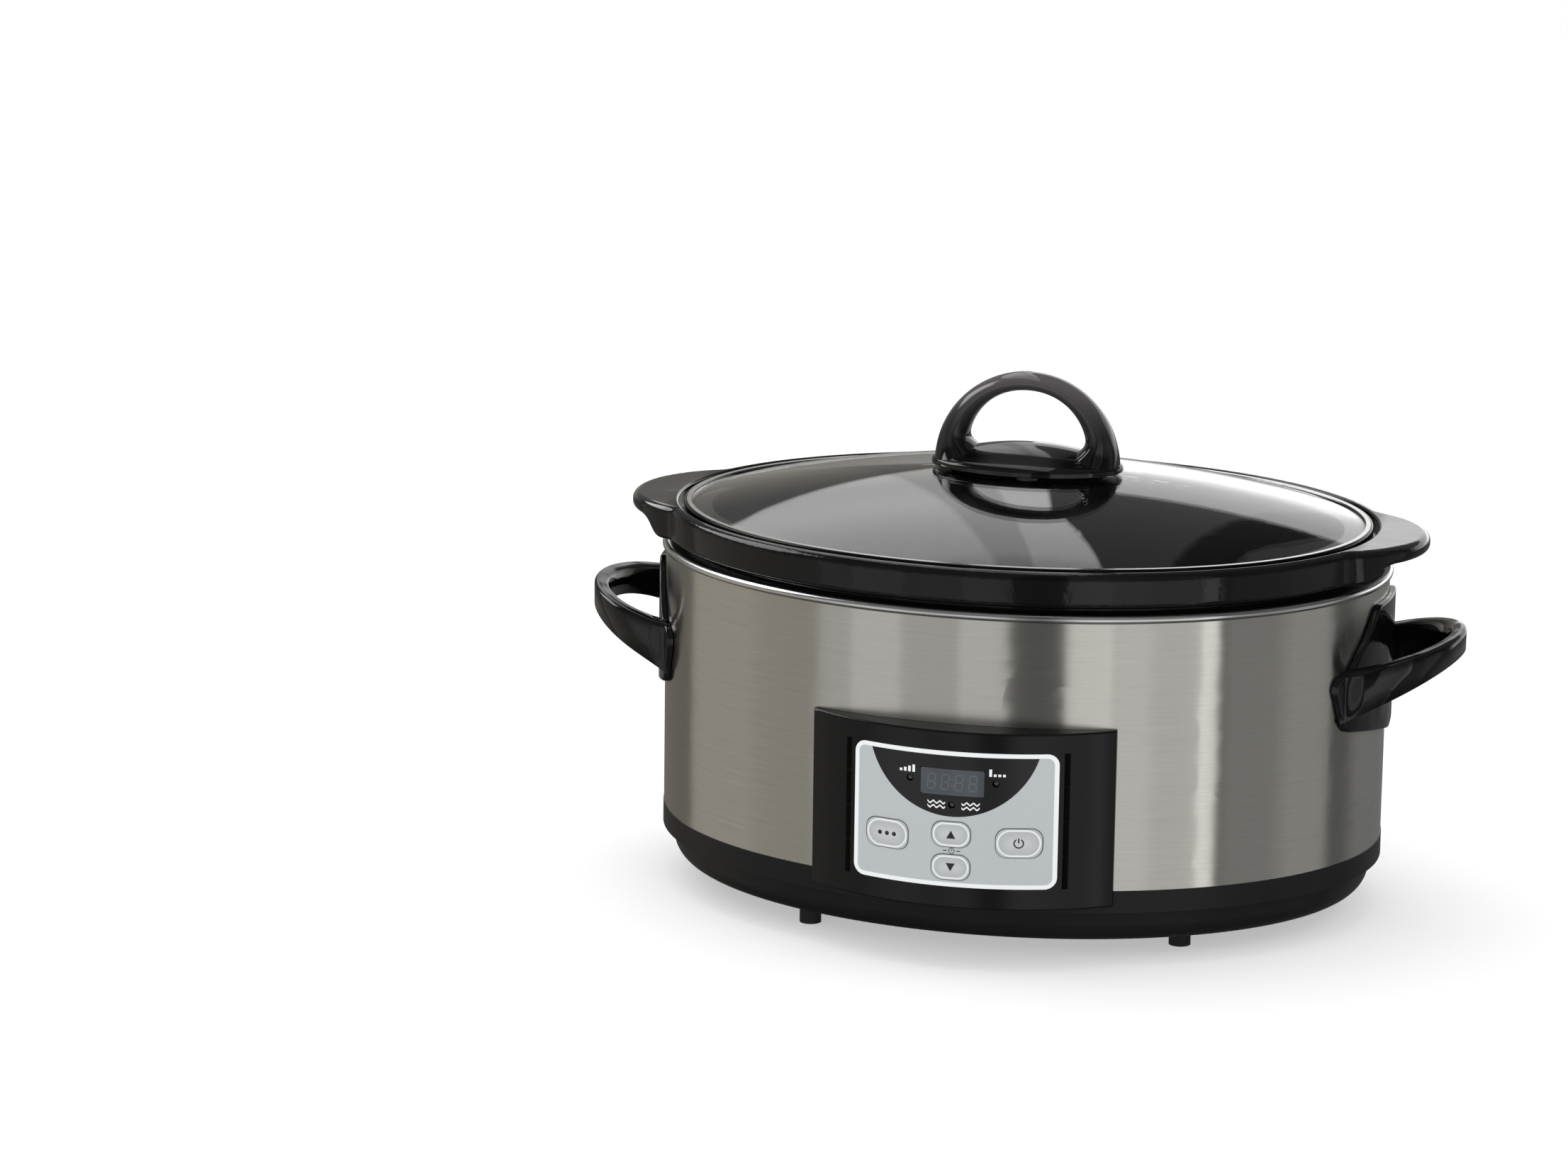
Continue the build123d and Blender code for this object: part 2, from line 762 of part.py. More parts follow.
# Display window, flush with the overlay
window_pane = bowed_slab(
    face_radius + overlay_thickness,
    face_radius + overlay_thickness - window_thickness,
    window_width,
    window_height,
    window_middle,
    window_corner_radius,
)
with BuildPart() as display_window:
    add(window_pane)

# Control board with holes at its corners
with BuildPart() as control_board:
    with BuildSketch(front_plane.offset(-board_depth)):
        with Locations((0, overlay_middle)):
            Rectangle(board_width, board_height)
        with Locations(*board_holes):
            Circle(screw_diameter / 2 + screw_fit / 2, mode=Mode.SUBTRACT)
    extrude(amount=-board_thickness)

with BuildPart() as control_screws:
    with BuildSketch(front_plane.offset(-board_depth - board_thickness)):
        with Locations(*board_holes):
            Circle(screw_diameter / 2)
    extrude(amount=board_thickness + board_screw_bite)
    with BuildSketch(front_plane.offset(-board_depth - board_thickness)):
        with Locations(*board_holes):
            Circle(screw_head_diameter / 2)
    extrude(amount=-screw_head_height)

with BuildPart() as display_module:
    with BuildSketch(front_plane.offset(-board_depth)):
        with Locations((0, window_middle)):
            Rectangle(window_width, window_height)
    extrude(amount=display_depth)

# Three indicator lamps with a collar at the board and a round end at the overlay
with BuildPart() as indicator_lamps:
    for sideways, row in lamp_places:
        lamp_end = face_depth(sideways, panel_bow_radius) + lamp_recess
        with BuildSketch(front_plane.offset(-board_depth)):
            with Locations((sideways, row)):
                Circle(lamp_collar_diameter / 2)
        extrude(amount=lamp_collar_height)
        with BuildSketch(front_plane.offset(-board_depth)):
            with Locations((sideways, row)):
                Circle(lamp_diameter / 2)
        extrude(amount=board_front - lamp_end)
    lens_ends = indicator_lamps.faces().filter_by_position(
        Axis.Y, panel_front, board_front - 2 * lamp_collar_height
    )
    fillet(lens_ends.filter_by(GeomType.PLANE).edges(), lamp_diameter / 2 - lamp_fit)

# One switch behind each key
with BuildPart() as key_switches:
    for place in side_keys + time_keys:
        with BuildSketch(front_plane.offset(-board_depth)):
            with Locations(place):
                Rectangle(switch_size, switch_size)
        extrude(amount=switch_height)
        with BuildSketch(front_plane.offset(-board_depth + switch_height)):
            with Locations(place):
                Circle(plunger_diameter / 2)
        extrude(amount=plunger_height)


def key(width, height, sideways, row):
    """A key cap that follows the bow, with a retaining skirt behind the wall and a stem."""
    cap = bowed_slab(
        panel_bow_radius + key_proud,
        inner_radius - key_travel,
        width,
        height,
        row,
        key_corner_radius - key_fit,
        sideways,
    )
    collar = bowed_slab(
        inner_radius - key_seat_gap,
        inner_radius - key_seat_gap - key_skirt_thickness,
        width + 2 * key_fit + 2 * key_skirt,
        height + 2 * key_fit + 2 * key_skirt,
        row,
        key_corner_radius,
        sideways,
    )
    stem_end = -board_depth + switch_height + plunger_height + key_travel + key_stem_gap
    with BuildPart() as button:
        add(cap)
        add(collar)
        with BuildSketch(front_plane.offset(stem_end)):
            with Locations((sideways, row)):
                Circle(key_stem_diameter / 2)
        extrude(amount=panel_front - stem_end - face_depth(sideways, inner_radius - key_seat_gap))
    return button


mode_button = key(side_key_width, side_key_height, -side_key_offset, side_key_row)
off_button = key(side_key_width, side_key_height, side_key_offset, side_key_row)
time_up_button = key(time_key_width, time_key_height, 0, time_up_row)
time_down_button = key(time_key_width, time_key_height, 0, time_down_row)

# Panel screws, driven from inside the wrap into the housing
head_edge = (panel_screw_spread + screw_head_diameter) / 2
wrap_inside = (wrap_half_depth - wrap_thickness) * sqrt(
    1 - (head_edge / (wrap_half_length - wrap_thickness)) ** 2
)
screw_seat_depth = -panel_front - wrap_inside + screw_fit
with BuildPart() as panel_screws:
    with BuildSketch(front_plane.offset(-screw_seat_depth)):
        with Locations((0, panel_screw_row)):
            with GridLocations(panel_screw_spread, 1, 2, 1):
                Circle(screw_diameter / 2)
    extrude(amount=screw_seat_depth - panel_reach + panel_screw_bite)
    with BuildSketch(front_plane.offset(-screw_seat_depth)):
        with Locations((0, panel_screw_row)):
            with GridLocations(panel_screw_spread, 1, 2, 1):
                Circle(screw_head_diameter / 2)
    extrude(amount=-screw_head_height)

# Side handle: the loop is a slanted strap whose two roots flare out along the plate
loop_root = wrap_half_length - loop_root_inset
loop_length = loop_root + loop_reach
flare_cos = cos(radians(loop_flare_angle))
flare_sin = sin(radians(loop_flare_angle))
flare_start = (loop_root + loop_reach * flare_cos, loop_half_width * flare_sin)
flare_run = (-loop_reach * flare_sin, loop_half_width * flare_cos)
flare_end = (wrap_half_length - loop_flare_inset, loop_flare_half)
handle_block = oval_ring(
    -handle_gap - plate_thickness / 2, loop_flare_half, plate_bottom, plate_height
)
with BuildPart() as handle_loop:
    with BuildSketch(Plane.XY.offset(plate_bottom)):
        with BuildLine():
            EllipticalCenterArc(
                (loop_root, 0),
                loop_reach,
                loop_half_width,
                start_angle=-loop_flare_angle,
                arc_size=2 * loop_flare_angle,
            )
            for side in (1, -1):
                Spline(
                    (flare_start[0], side * flare_start[1]),
                    (flare_end[0], side * flare_end[1]),
                    tangents=(
                        (flare_run[0], side * flare_run[1]),
                        (-1, side * loop_flare_lean),
                    ),
                )
            Line((flare_end[0], flare_end[1]), (flare_end[0], -flare_end[1]))
        make_face()
        with Locations((loop_root, 0)):
            Ellipse(loop_reach - loop_strap, loop_half_width - loop_strap, mode=Mode.SUBTRACT)
    extrude(amount=plate_height)
    with BuildSketch(Plane.XZ.offset(-loop_flare_half)):
        with BuildLine():
            Polyline(
                (loop_root - loop_reach, loop_root_bottom - loop_bottom_slope * loop_reach),
                (loop_length, loop_root_bottom + loop_bottom_slope * loop_reach),
                (loop_length, loop_root_bottom + loop_root_height + loop_top_slope * loop_reach),
                (
                    loop_root - loop_reach,
                    loop_root_bottom + loop_root_height - loop_top_slope * loop_reach,
                ),
                close=True,
            )
        make_face()
    extrude(amount=2 * loop_flare_half, mode=Mode.INTERSECT)
    loop_sides = handle_loop.faces().filter_by(GeomType.PLANE).sort_by(Axis.Z)
    loop_edges = loop_sides[0].edges() + loop_sides[-1].edges()
    fillet(loop_edges.filter_by(GeomType.LINE, reverse=True), loop_rounding)
    add(handle_block, mode=Mode.SUBTRACT)

plate_ring = oval_ring(-handle_gap - plate_thickness, -handle_gap, plate_bottom, plate_height)
with BuildPart() as right_handle:
    add(plate_ring)
    with BuildSketch(Plane.YZ):
        with BuildLine():
            Polyline(
                (plate_peak_half, plate_bottom + plate_height),
                (plate_neck_half, plate_bottom + plate_neck_height),
                (plate_wing_half, plate_bottom + plate_wing_height),
                (plate_toe_half, plate_bottom + plate_toe_height),
                (0, plate_bottom),
                (-plate_toe_half, plate_bottom + plate_toe_height),
                (-plate_wing_half, plate_bottom + plate_wing_height),
                (-plate_neck_half, plate_bottom + plate_neck_height),
                (-plate_peak_half, plate_bottom + plate_height),
                close=True,
            )
        shield = make_face()
        fillet(shield.vertices(), plate_corner_radius)
    extrude(amount=loop_length, mode=Mode.INTERSECT)
    plate_face = right_handle.faces().sort_by(Axis.X)[-1]
    fillet(plate_face.edges(), plate_rounding)
    add(handle_loop.part)
    with BuildSketch(Plane.YZ):
        with Locations((0, handle_screw_lowest + handle_screw_spacing / 2)):
            with GridLocations(1, handle_screw_spacing, 1, 2):
                Circle(screw_diameter / 2 + screw_fit / 2)
    extrude(
        amount=wrap_half_length + handle_gap + handle_screw_bite + screw_fit, mode=Mode.SUBTRACT
    )

with BuildPart() as left_handle:
    mirror(right_handle.part, about=Plane.YZ)

# Handle screws, driven from inside the wrap
screw_seat = wrap_half_length - wrap_thickness - screw_fit
with BuildPart() as handle_screws:
    with BuildSketch(Plane.YZ.offset(screw_seat)):
        with Locations((0, handle_screw_lowest + handle_screw_spacing / 2)):
            with GridLocations(1, handle_screw_spacing, 1, 2):
                Circle(screw_diameter / 2)
    extrude(amount=screw_fit + wrap_thickness + handle_gap + handle_screw_bite)
    with BuildSketch(Plane.YZ.offset(screw_seat)):
        with Locations((0, handle_screw_lowest + handle_screw_spacing / 2)):
            with GridLocations(1, handle_screw_spacing, 1, 2):
                Circle(screw_head_diameter / 2)
    extrude(amount=-screw_head_height)
    mirror(about=Plane.YZ)

# Crock: drafted wall and floor, seat ring, rim band with two lugs, and the recess for the lid
crock_outside = oval_dish(
    crock_wall_inset, crock_wall_inset + crock_draft, crock_bottom, flange_top, crock_edge_radius
)
crock_cavity = oval_dish(
    crock_wall_inset + crock_wall_thickness,
    crock_wall_inset + crock_draft + crock_wall_thickness,
    crock_bottom + crock_floor_thickness,
    lid_ledge,
    crock_cavity_radius,
)
lug_tip = wrap_half_length - crock_rim_inset + lug_reach
lug_middle = lug_tip - lug_radius
lug_root = wrap_half_length - crock_rim_inset - lug_root_inset
lug_bottom = crock_top - lug_thickness
with BuildPart() as crock_band:
    with BuildSketch(Plane.XY.offset(crock_band_bottom - lug_thickness)):
        oval(crock_rim_inset)
        with Locations((lug_middle, 0), (-lug_middle, 0)):
            Circle(lug_radius)
    extrude(amount=crock_band_height + lug_thickness)
    blend_edges = crock_band.edges().filter_by(Axis.Z).group_by(SortBy.DISTANCE)
    fillet(blend_edges[0], lug_blend_radius)
    with BuildSketch(Plane.XZ):
        with BuildLine():
            Line((-lug_root, crock_band_bottom), (lug_root, crock_band_bottom))
            for side in (1, -1):
                Spline(
                    (side * lug_root, crock_band_bottom),
                    (side * (lug_root + lug_root_run), lug_bottom),
                    tangents=((side, 0), (side, 0)),
                )
                Polyline(
                    (side * (lug_root + lug_root_run), lug_bottom),
                    (side * (lug_tip + lug_thickness), lug_bottom),
                    (side * (lug_tip + lug_thickness), crock_top),
                )
            Line((-lug_tip - lug_thickness, crock_top), (lug_tip + lug_thickness, crock_top))
        make_face()
    extrude(amount=wrap_half_depth, both=True, mode=Mode.INTERSECT)
    band_edges = crock_band.edges().filter_by(Axis.Y, reverse=True).filter_by(Axis.Z, reverse=True)
    lower_edges = band_edges.filter_by_position(Axis.Z, crock_band_bottom, lug_bottom)
    fillet(lower_edges, crock_band_lower_rounding)

with BuildPart() as crock:
    add(crock_band.part)
    fillet(crock.faces().sort_by(Axis.Z)[-1].edges(), crock_band_rounding)
    with BuildSketch(Plane.XY.offset(flange_top)):
        oval(crock_seat_inset)
    extrude(amount=crock_seat_height)
    add(crock_outside)
    with BuildSketch(Plane.XY.offset(lid_ledge)):
        oval(lid_recess_inset)
    extrude(amount=lid_recess_depth, mode=Mode.SUBTRACT)
    recess_edge = crock.faces().sort_by(Axis.Z)[-1].edges().filter_by(GeomType.ELLIPSE)
    fillet(recess_edge, lid_recess_rounding)
    add(crock_cavity, mode=Mode.SUBTRACT)

# Lid rim: a steel channel that grips the edge of the glass
rim_channel = oval_ring(
    glass_inset - glass_fit,
    lid_rim_outer + lid_rim_width,
    glass_bottom - glass_fit,
    glass_thickness + 2 * glass_fit,
)
rim_block = oval_ring(lid_rim_outer, lid_rim_outer + lid_rim_width, lid_ledge, lid_rim_height)
with BuildPart() as lid_rim:
    add(rim_block)
    rim_top = lid_rim.faces().sort_by(Axis.Z)[-1]
    fillet(rim_top.edges().sort_by(SortBy.LENGTH)[-1], lid_rim_rounding)
    add(rim_channel, mode=Mode.SUBTRACT)

# Lid glass: a flat edge and a low dome, with the hole for the knob screw
glass_outside = dome(glass_top, dome_rise, dome_inset)
glass_inside = dome(glass_bottom, dome_rise, dome_inset)
with BuildPart() as lid_glass:
    with BuildSketch(Plane.XY.offset(glass_bottom)):
        oval(glass_inset)
    extrude(amount=glass_thickness)
    add(glass_outside)
    add(glass_inside, mode=Mode.SUBTRACT)
    with BuildSketch(Plane.XY.offset(glass_bottom)):
        Circle(knob_screw_diameter / 2 + stud_fit)
    extrude(amount=dome_rise + 2 * glass_thickness, mode=Mode.SUBTRACT)

# Knob seal between the foot of the knob and the glass
seal_bottom = dome(glass_top + seal_gap, dome_rise, dome_inset)
seal_top = dome(glass_top + seal_gap + seal_thickness, dome_rise, dome_inset)
with BuildPart() as knob_seal:
    with BuildSketch(Plane.XY.offset(glass_top)):
        Ellipse(seal_half_length, seal_half_depth)
        Circle(knob_screw_diameter / 2 + stud_fit, mode=Mode.SUBTRACT)
    extrude(amount=dome_rise + seal_gap + seal_thickness)
    add(seal_top, mode=Mode.INTERSECT)
    add(seal_bottom, mode=Mode.SUBTRACT)

# Lid knob: an arch with an elliptical opening on an oval foot with a low mound
knob_base = dome_top + seal_gap + seal_thickness
foot_top = knob_base + knob_foot_height
knob_clear = dome(glass_top + 2 * seal_gap + seal_thickness, dome_rise, dome_inset)
with BuildPart() as knob_mound:
    for angle in mound_angles:
        share = cos(radians(angle))
        with BuildSketch(Plane.XY.offset(foot_top + mound_rise * sin(radians(angle)))):
            Ellipse(mound_half_length * share, mound_half_depth * share)
    loft()

arch_neck_level = knob_base + arch_neck
arch_top = knob_base + arch_radius
with BuildPart() as knob_arch:
    with BuildSketch(Plane.XZ):
        with Locations((0, knob_base)):
            Circle(arch_radius)
            Rectangle(
                2 * arch_radius,
                arch_radius,
                align=(Align.CENTER, Align.MIN),
                mode=Mode.INTERSECT,
            )
    extrude(amount=knob_half_depth, both=True)
    with BuildSketch(Plane.YZ):
        with BuildLine():
            Line((knob_half_depth, knob_base), (-knob_half_depth, knob_base))
            Line((arch_strap_half, arch_top), (-arch_strap_half, arch_top))
            for side in (1, -1):
                Spline(
                    (side * knob_half_depth, knob_base),
                    (side * arch_strap_half, arch_neck_level),
                    tangents=((-side, arch_lean), (0, 1)),
                )
                Line((side * arch_strap_half, arch_neck_level), (side * arch_strap_half, arch_top))
        make_face()
    extrude(amount=arch_radius, both=True, mode=Mode.INTERSECT)
    arch_edges = knob_arch.edges().filter_by(GeomType.LINE, reverse=True)
    fillet(arch_edges.filter_by_position(Axis.Z, foot_top, arch_top), arch_rounding)
    with BuildSketch(Plane.XY.offset(knob_base)):
        Ellipse(knob_half_length - arch_inset, knob_half_depth - arch_inset)
    extrude(amount=arch_radius, mode=Mode.INTERSECT)

knob_clear_base = glass_top + 2 * seal_gap + seal_thickness
with BuildPart() as lid_knob:
    with BuildSketch(Plane.XY.offset(knob_clear_base)):
        Ellipse(knob_half_length, knob_half_depth)
    extrude(amount=foot_top - knob_clear_base)
    add(knob_arch.part)
    with BuildSketch(Plane.XZ):
        with Locations((0, foot_top + knob_opening_centre)):
            Ellipse(knob_opening_half, knob_opening_rise)
        with Locations((0, foot_top)):
            Rectangle(
                2 * knob_half_length,
                arch_radius,
                align=(Align.CENTER, Align.MIN),
                mode=Mode.INTERSECT,
            )
    extrude(amount=knob_half_depth, both=True, mode=Mode.SUBTRACT)
    add(knob_mound.part)
    add(knob_clear, mode=Mode.SUBTRACT)
    with BuildSketch(Plane.XY.offset(glass_top)):
        Circle(knob_screw_diameter / 2 + screw_fit / 2)
    extrude(amount=dome_rise + knob_screw_reach + seal_thickness + seal_gap, mode=Mode.SUBTRACT)

# Knob washer and screw under the glass
washer_top = glass_bottom + dome_rise
with BuildPart() as knob_washer:
    with BuildSketch(Plane.XY.offset(washer_top)):
        Circle(knob_washer_diameter / 2)
        Circle(knob_screw_diameter / 2 + stud_fit, mode=Mode.SUBTRACT)
    extrude(amount=-knob_washer_thickness)

with BuildPart() as knob_screw:
    with BuildSketch(Plane.XY.offset(washer_top - knob_washer_thickness)):
        Circle(knob_screw_head_diameter / 2)
    extrude(amount=-knob_screw_head_height)
    with BuildSketch(Plane.XY.offset(washer_top - knob_washer_thickness)):
        Circle(knob_screw_diameter / 2)
    extrude(amount=knob_washer_thickness + glass_thickness + seal_thickness + knob_screw_reach)

# Every piece goes to its own file
pieces = {
    "base_pan": base_pan,
    "feet": feet,
    "cord_gland": cord_gland,
    "steel_wrap": steel_wrap,
    "heating_well": heating_well,
    "heater_band": heater_band,
    "clamp_bolt": clamp_bolt,
    "thermal_fuse": thermal_fuse,
    "well_stud": well_stud,
    "heat_shield": heat_shield,
    "stud_sleeve": stud_sleeve,
    "stud_washer": stud_washer,
    "stud_nut": stud_nut,
    "power_board": power_board,
    "power_relay": power_relay,
    "supply_transformer": supply_transformer,
    "filter_capacitor": filter_capacitor,
    "power_screws": power_screws,
    "control_housing": control_housing,
    "control_overlay": control_overlay,
    "display_window": display_window,
    "display_module": display_module,
    "indicator_lamps": indicator_lamps,
    "control_board": control_board,
    "control_screws": control_screws,
    "key_switches": key_switches,
    "mode_button": mode_button,
    "off_button": off_button,
    "time_up_button": time_up_button,
    "time_down_button": time_down_button,
    "panel_screws": panel_screws,
    "right_handle": right_handle,
    "left_handle": left_handle,
    "handle_screws": handle_screws,
    "crock": crock,
    "lid_rim": lid_rim,
    "lid_glass": lid_glass,
    "knob_seal": knob_seal,
    "lid_knob": lid_knob,
    "knob_washer": knob_washer,
    "knob_screw": knob_screw,
}
for name, piece in pieces.items():
    piece.part.label = name
    export_step(piece.part, f"parts/{name}.step")
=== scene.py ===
import math
import bmesh
import bpy
from mathutils import Matrix, Vector


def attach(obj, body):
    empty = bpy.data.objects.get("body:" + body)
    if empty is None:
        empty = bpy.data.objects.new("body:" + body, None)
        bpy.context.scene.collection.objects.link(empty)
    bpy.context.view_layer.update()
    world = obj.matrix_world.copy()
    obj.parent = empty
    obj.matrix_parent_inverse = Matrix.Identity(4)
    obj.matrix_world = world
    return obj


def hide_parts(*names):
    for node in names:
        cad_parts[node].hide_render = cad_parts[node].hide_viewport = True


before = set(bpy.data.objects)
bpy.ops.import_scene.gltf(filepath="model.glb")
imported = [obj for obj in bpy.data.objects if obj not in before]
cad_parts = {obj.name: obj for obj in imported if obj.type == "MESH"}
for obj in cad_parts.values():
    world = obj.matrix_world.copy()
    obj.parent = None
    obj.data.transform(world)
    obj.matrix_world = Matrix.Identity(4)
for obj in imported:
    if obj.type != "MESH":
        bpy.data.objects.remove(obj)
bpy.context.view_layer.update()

# Camera: it stands a little to the right of the front and looks down on the lid.
# Its place, its turn and its lens come from the oval rims and the panel in the photograph.
mm = 0.001
photo_width = 2212
focal_length_pixels = 7601.29
azimuth = math.radians(14.42)
elevation = math.radians(13.098)
roll = math.radians(0.716)
eye_distance = 2679.874 * mm
eye_shift_right = -115.908 * mm
eye_shift_up = 161.286 * mm
eye_drop = 16.0 * mm
back = Vector(
    (
        math.sin(azimuth) * math.cos(elevation),
        -math.cos(azimuth) * math.cos(elevation),
        math.sin(elevation),
    )
)
level_right = Vector((math.cos(azimuth), math.sin(azimuth), 0))
level_up = back.cross(level_right)
right = level_right * math.cos(roll) + level_up * math.sin(roll)
up = level_up * math.cos(roll) - level_right * math.sin(roll)
eye = back * eye_distance + right * eye_shift_right + up * eye_shift_up - Vector((0, 0, eye_drop))
lens = bpy.data.cameras.new("camera")
lens.sensor_width = 36
lens.lens = focal_length_pixels / photo_width * lens.sensor_width
lens.clip_start = 0.1
lens.clip_end = 60
camera = bpy.data.objects.new("camera", lens)
bpy.context.scene.collection.objects.link(camera)
camera.matrix_world = Matrix.Translation(eye) @ Matrix((right, up, back)).transposed().to_4x4()
bpy.context.scene.camera = camera
bpy.context.scene.view_settings.view_transform = "Standard"


# Studio: even white light from all sides. Mirror-like surfaces see large white cards and dark gaps
# between them instead, set round the cooker in bands by their direction, and two walls behind it.
class Shade:
    """A value in a node tree. Operators on it add Math nodes, and node() adds any other node."""

    def __init__(self, tree, socket=None):
        self.tree = tree
        self.socket = socket

    def node(self, kind, settings=None, values=None, out=0):
        """Adds a node, sets it up first, then fills its sockets, and gives one of its outputs."""
        made = self.tree.nodes.new(kind)
        for key, value in (settings or {}).items():
            setattr(made, key, value)
        for key, value in (values or {}).items():
            if isinstance(value, Shade):
                self.tree.links.new(value.socket, made.inputs[key])
            else:
                made.inputs[key].default_value = value
        return Shade(self.tree, made.outputs[out] if made.outputs else None)

    def math(self, operation, *values):
        """Adds a Math node."""
        return self.node("ShaderNodeMath", {"operation": operation}, dict(enumerate(values)))

    def __add__(self, other):
        return self.math("ADD", self, other)

    def __radd__(self, other):
        return self.math("ADD", other, self)

    def __sub__(self, other):
        return self.math("SUBTRACT", self, other)

    def __rsub__(self, other):
        return self.math("SUBTRACT", other, self)

    def __mul__(self, other):
        return self.math("MULTIPLY", self, other)

    def __rmul__(self, other):
        return self.math("MULTIPLY", other, self)

    def __truediv__(self, other):
        return self.math("DIVIDE", self, other)

    def __abs__(self):
        return self.math("ABSOLUTE", self)

    def ramp(self, low, high, start=0.0, end=1.0):
        """Goes smoothly from start to end while this value goes from low to high."""
        return self.node(
            "ShaderNodeMapRange",
            {"interpolation_type": "SMOOTHSTEP"},
            {0: self, 1: low, 2: high, 3: start, 4: end},
        )

    def between(self, low, high, soft):
        """One inside a span and zero outside it, with soft ends."""
        return self.ramp(low - soft, low + soft) * self.ramp(high - soft, high + soft, 1.0, 0.0)

    def blend(self, first, second):
        """Mixes two colours by this value."""
        return self.node("ShaderNodeMix", {"data_type": "RGBA"}, {0: self, 6: first, 7: second}, out=2)

    def split(self):
        """The three parts of a vector."""
        parts = self.node("ShaderNodeSeparateXYZ", values={0: self})
        return [Shade(self.tree, socket) for socket in parts.socket.node.outputs]

    def place(self):
        """Where a point lies on the object, in metres."""
        return self.node("ShaderNodeTexCoord", out=3)

    def noise(self, scale, detail=2.0):
        """Soft clouds over this place, finer as the scale grows."""
        return self.node("ShaderNodeTexNoise", values={"Vector": self, "Scale": scale, "Detail": detail})

    def bump(self, strength, distance):
        """The normal of a surface that has this value as its height."""
        return self.node(
            "ShaderNodeBump", values={"Height": self, "Strength": strength, "Distance": distance}
        )


world = bpy.data.worlds.new("studio")
bpy.context.scene.world = world
world.use_nodes = True
world.node_tree.nodes.clear()
sky = Shade(world.node_tree)
toward_x, toward_y, toward_z = sky.node("ShaderNodeTexCoord").split()
around = sky.math("ARCTAN2", toward_x, 0 - toward_y) * math.degrees(1)
height = sky.math("ARCSINE", toward_z) * math.degrees(1)
# Each card has its first and last direction in degrees, its brightness and the softness of its ends.
card_bands = (
    (-180, -112, 0.05, 4),
    (-112, -76, 0.27, 3),
    (-76, -52, 0.23, 3),
    (-52, -42, 0.39, 2),
    (-42, -28, 0.52, 1),
    (-28, -13, 0.38, 2),
    (-13, -0.6, 0.52, 0.6),
    (13.6, 26, 0.70, 0.6),
    (26, 37, 0.60, 2),
    (37, 52, 0.51, 2),
    (52, 58, 0.98, 0.5),
    (61, 84, 0.13, 0.6),
    (84, 110, 0.21, 3),
)
gap_glow = 0.11
cards = gap_glow
for first, last, brightness, soft in card_bands:
    cards = cards + around.between(first, last, soft) * brightness
front_cards = cards * height.ramp(2, 22, 1.0, 0.25) * height.ramp(-50, -22, 0.2, 1.0)
behind = abs(around).ramp(118, 135)
above_table = height.ramp(-6, 1, 0.03, 1.0)
wall_edge = around + sky.math("MAXIMUM", height - 32, 0.0) * 0.2
on_left = wall_edge.ramp(-168.9, -168.6) * around.ramp(-20, 0, 1.0, 0.0)
wall_foot = height - (around + 162) * 1.3
wall_panes = 1 - around.between(-166.6, -163.6, 0.15) * 0.26 - height.ramp(46, 48) * 0.2
wall_glow = wall_foot.ramp(16.6, 17.4, 0.17, 1.32) * height.ramp(20, 32, 0.7, 1.0) * wall_panes
left_wall = on_left * behind * wall_glow
room_glow = height.ramp(22.3, 23.3, 0.78, 0.0) + height.ramp(4, 13, 0.7, 0.0)
right_wall = (1 - on_left) * behind * (room_glow + around.ramp(-177.0, -176.6, 0.0, 0.1))
window_light = around.between(-125, -75, 4) * height.between(24, 52, 3) * 4.0
mirrored = front_cards + (left_wall + right_wall) * above_table + window_light
taupe = around.between(-167, -52, 5) * height.ramp(12, 20, 1.0, 0.0)
ray = sky.node("ShaderNodeLightPath").socket.node.outputs
glossy = Shade(world.node_tree, ray["Is Glossy Ray"])
tint = (glossy * taupe).blend((1, 1, 1, 1), (1, 0.95, 0.86, 1))
studio_light = sky.node(
    "ShaderNodeBackground", values={"Color": tint, "Strength": glossy * mirrored + (1 - glossy)}
)
sky.node("ShaderNodeOutputWorld", values={"Surface": studio_light})

# Table: the pale matt board that the cooker stands on. It glows a little, so that it fades into
# the white behind it, and mirror-like surfaces don't see it.
table_half_length = 12
table_mesh = bmesh.new()
bmesh.ops.create_grid(table_mesh, x_segments=1, y_segments=1, size=table_half_length)
table_data = bpy.data.meshes.new("table")
table_mesh.to_mesh(table_data)
table_mesh.free()
table = bpy.data.objects.new("table", table_data)
bpy.context.scene.collection.objects.link(table)
table.visible_glossy = False
table_paint = bpy.data.materials.new("table_paint")
table_paint.use_nodes = True
table_shader = table_paint.node_tree.nodes["Principled BSDF"]
table_shader.inputs["Base Color"].default_value = (0.55, 0.55, 0.555, 1)
table_shader.inputs["Roughness"].default_value = 0.9
table_shader.inputs["Specular IOR Level"].default_value = 0.0
table_shader.inputs["Emission Color"].default_value = (1, 1, 1, 1)
table_shader.inputs["Emission Strength"].default_value = 0.44
table_data.materials.append(table_paint)

# Overhead lamp: one wide soft box above, to the left and behind, which draws the soft shadow.
# Mirror-like surfaces don't see it either.
overhead = bpy.data.lights.new("overhead", "AREA")
overhead.shape = "RECTANGLE"
overhead.size = 2.2
overhead.size_y = 1.6
overhead.energy = 16
overhead_lamp = bpy.data.objects.new("overhead", overhead)
bpy.context.scene.collection.objects.link(overhead_lamp)
overhead_lamp.location = (-0.5, 0.3, 1.9)
overhead_lamp.rotation_euler = (math.radians(-8), math.radians(-14), 0)
overhead_lamp.visible_glossy = False


# Base: one black moulding, a shallow bowl under a straight skirt that carries the wrap.
# Its surface has a fine spark-eroded grain and a slightly uneven gloss.
def finish(name, constants):
    """A new material with the numbers that are the same all over set on its shader."""
    material = bpy.data.materials.new(name)
    material.use_nodes = True
    shader = material.node_tree.nodes["Principled BSDF"]
    for socket, value in constants.items():
        shader.inputs[socket].default_value = value
    return material, shader, Shade(material.node_tree)


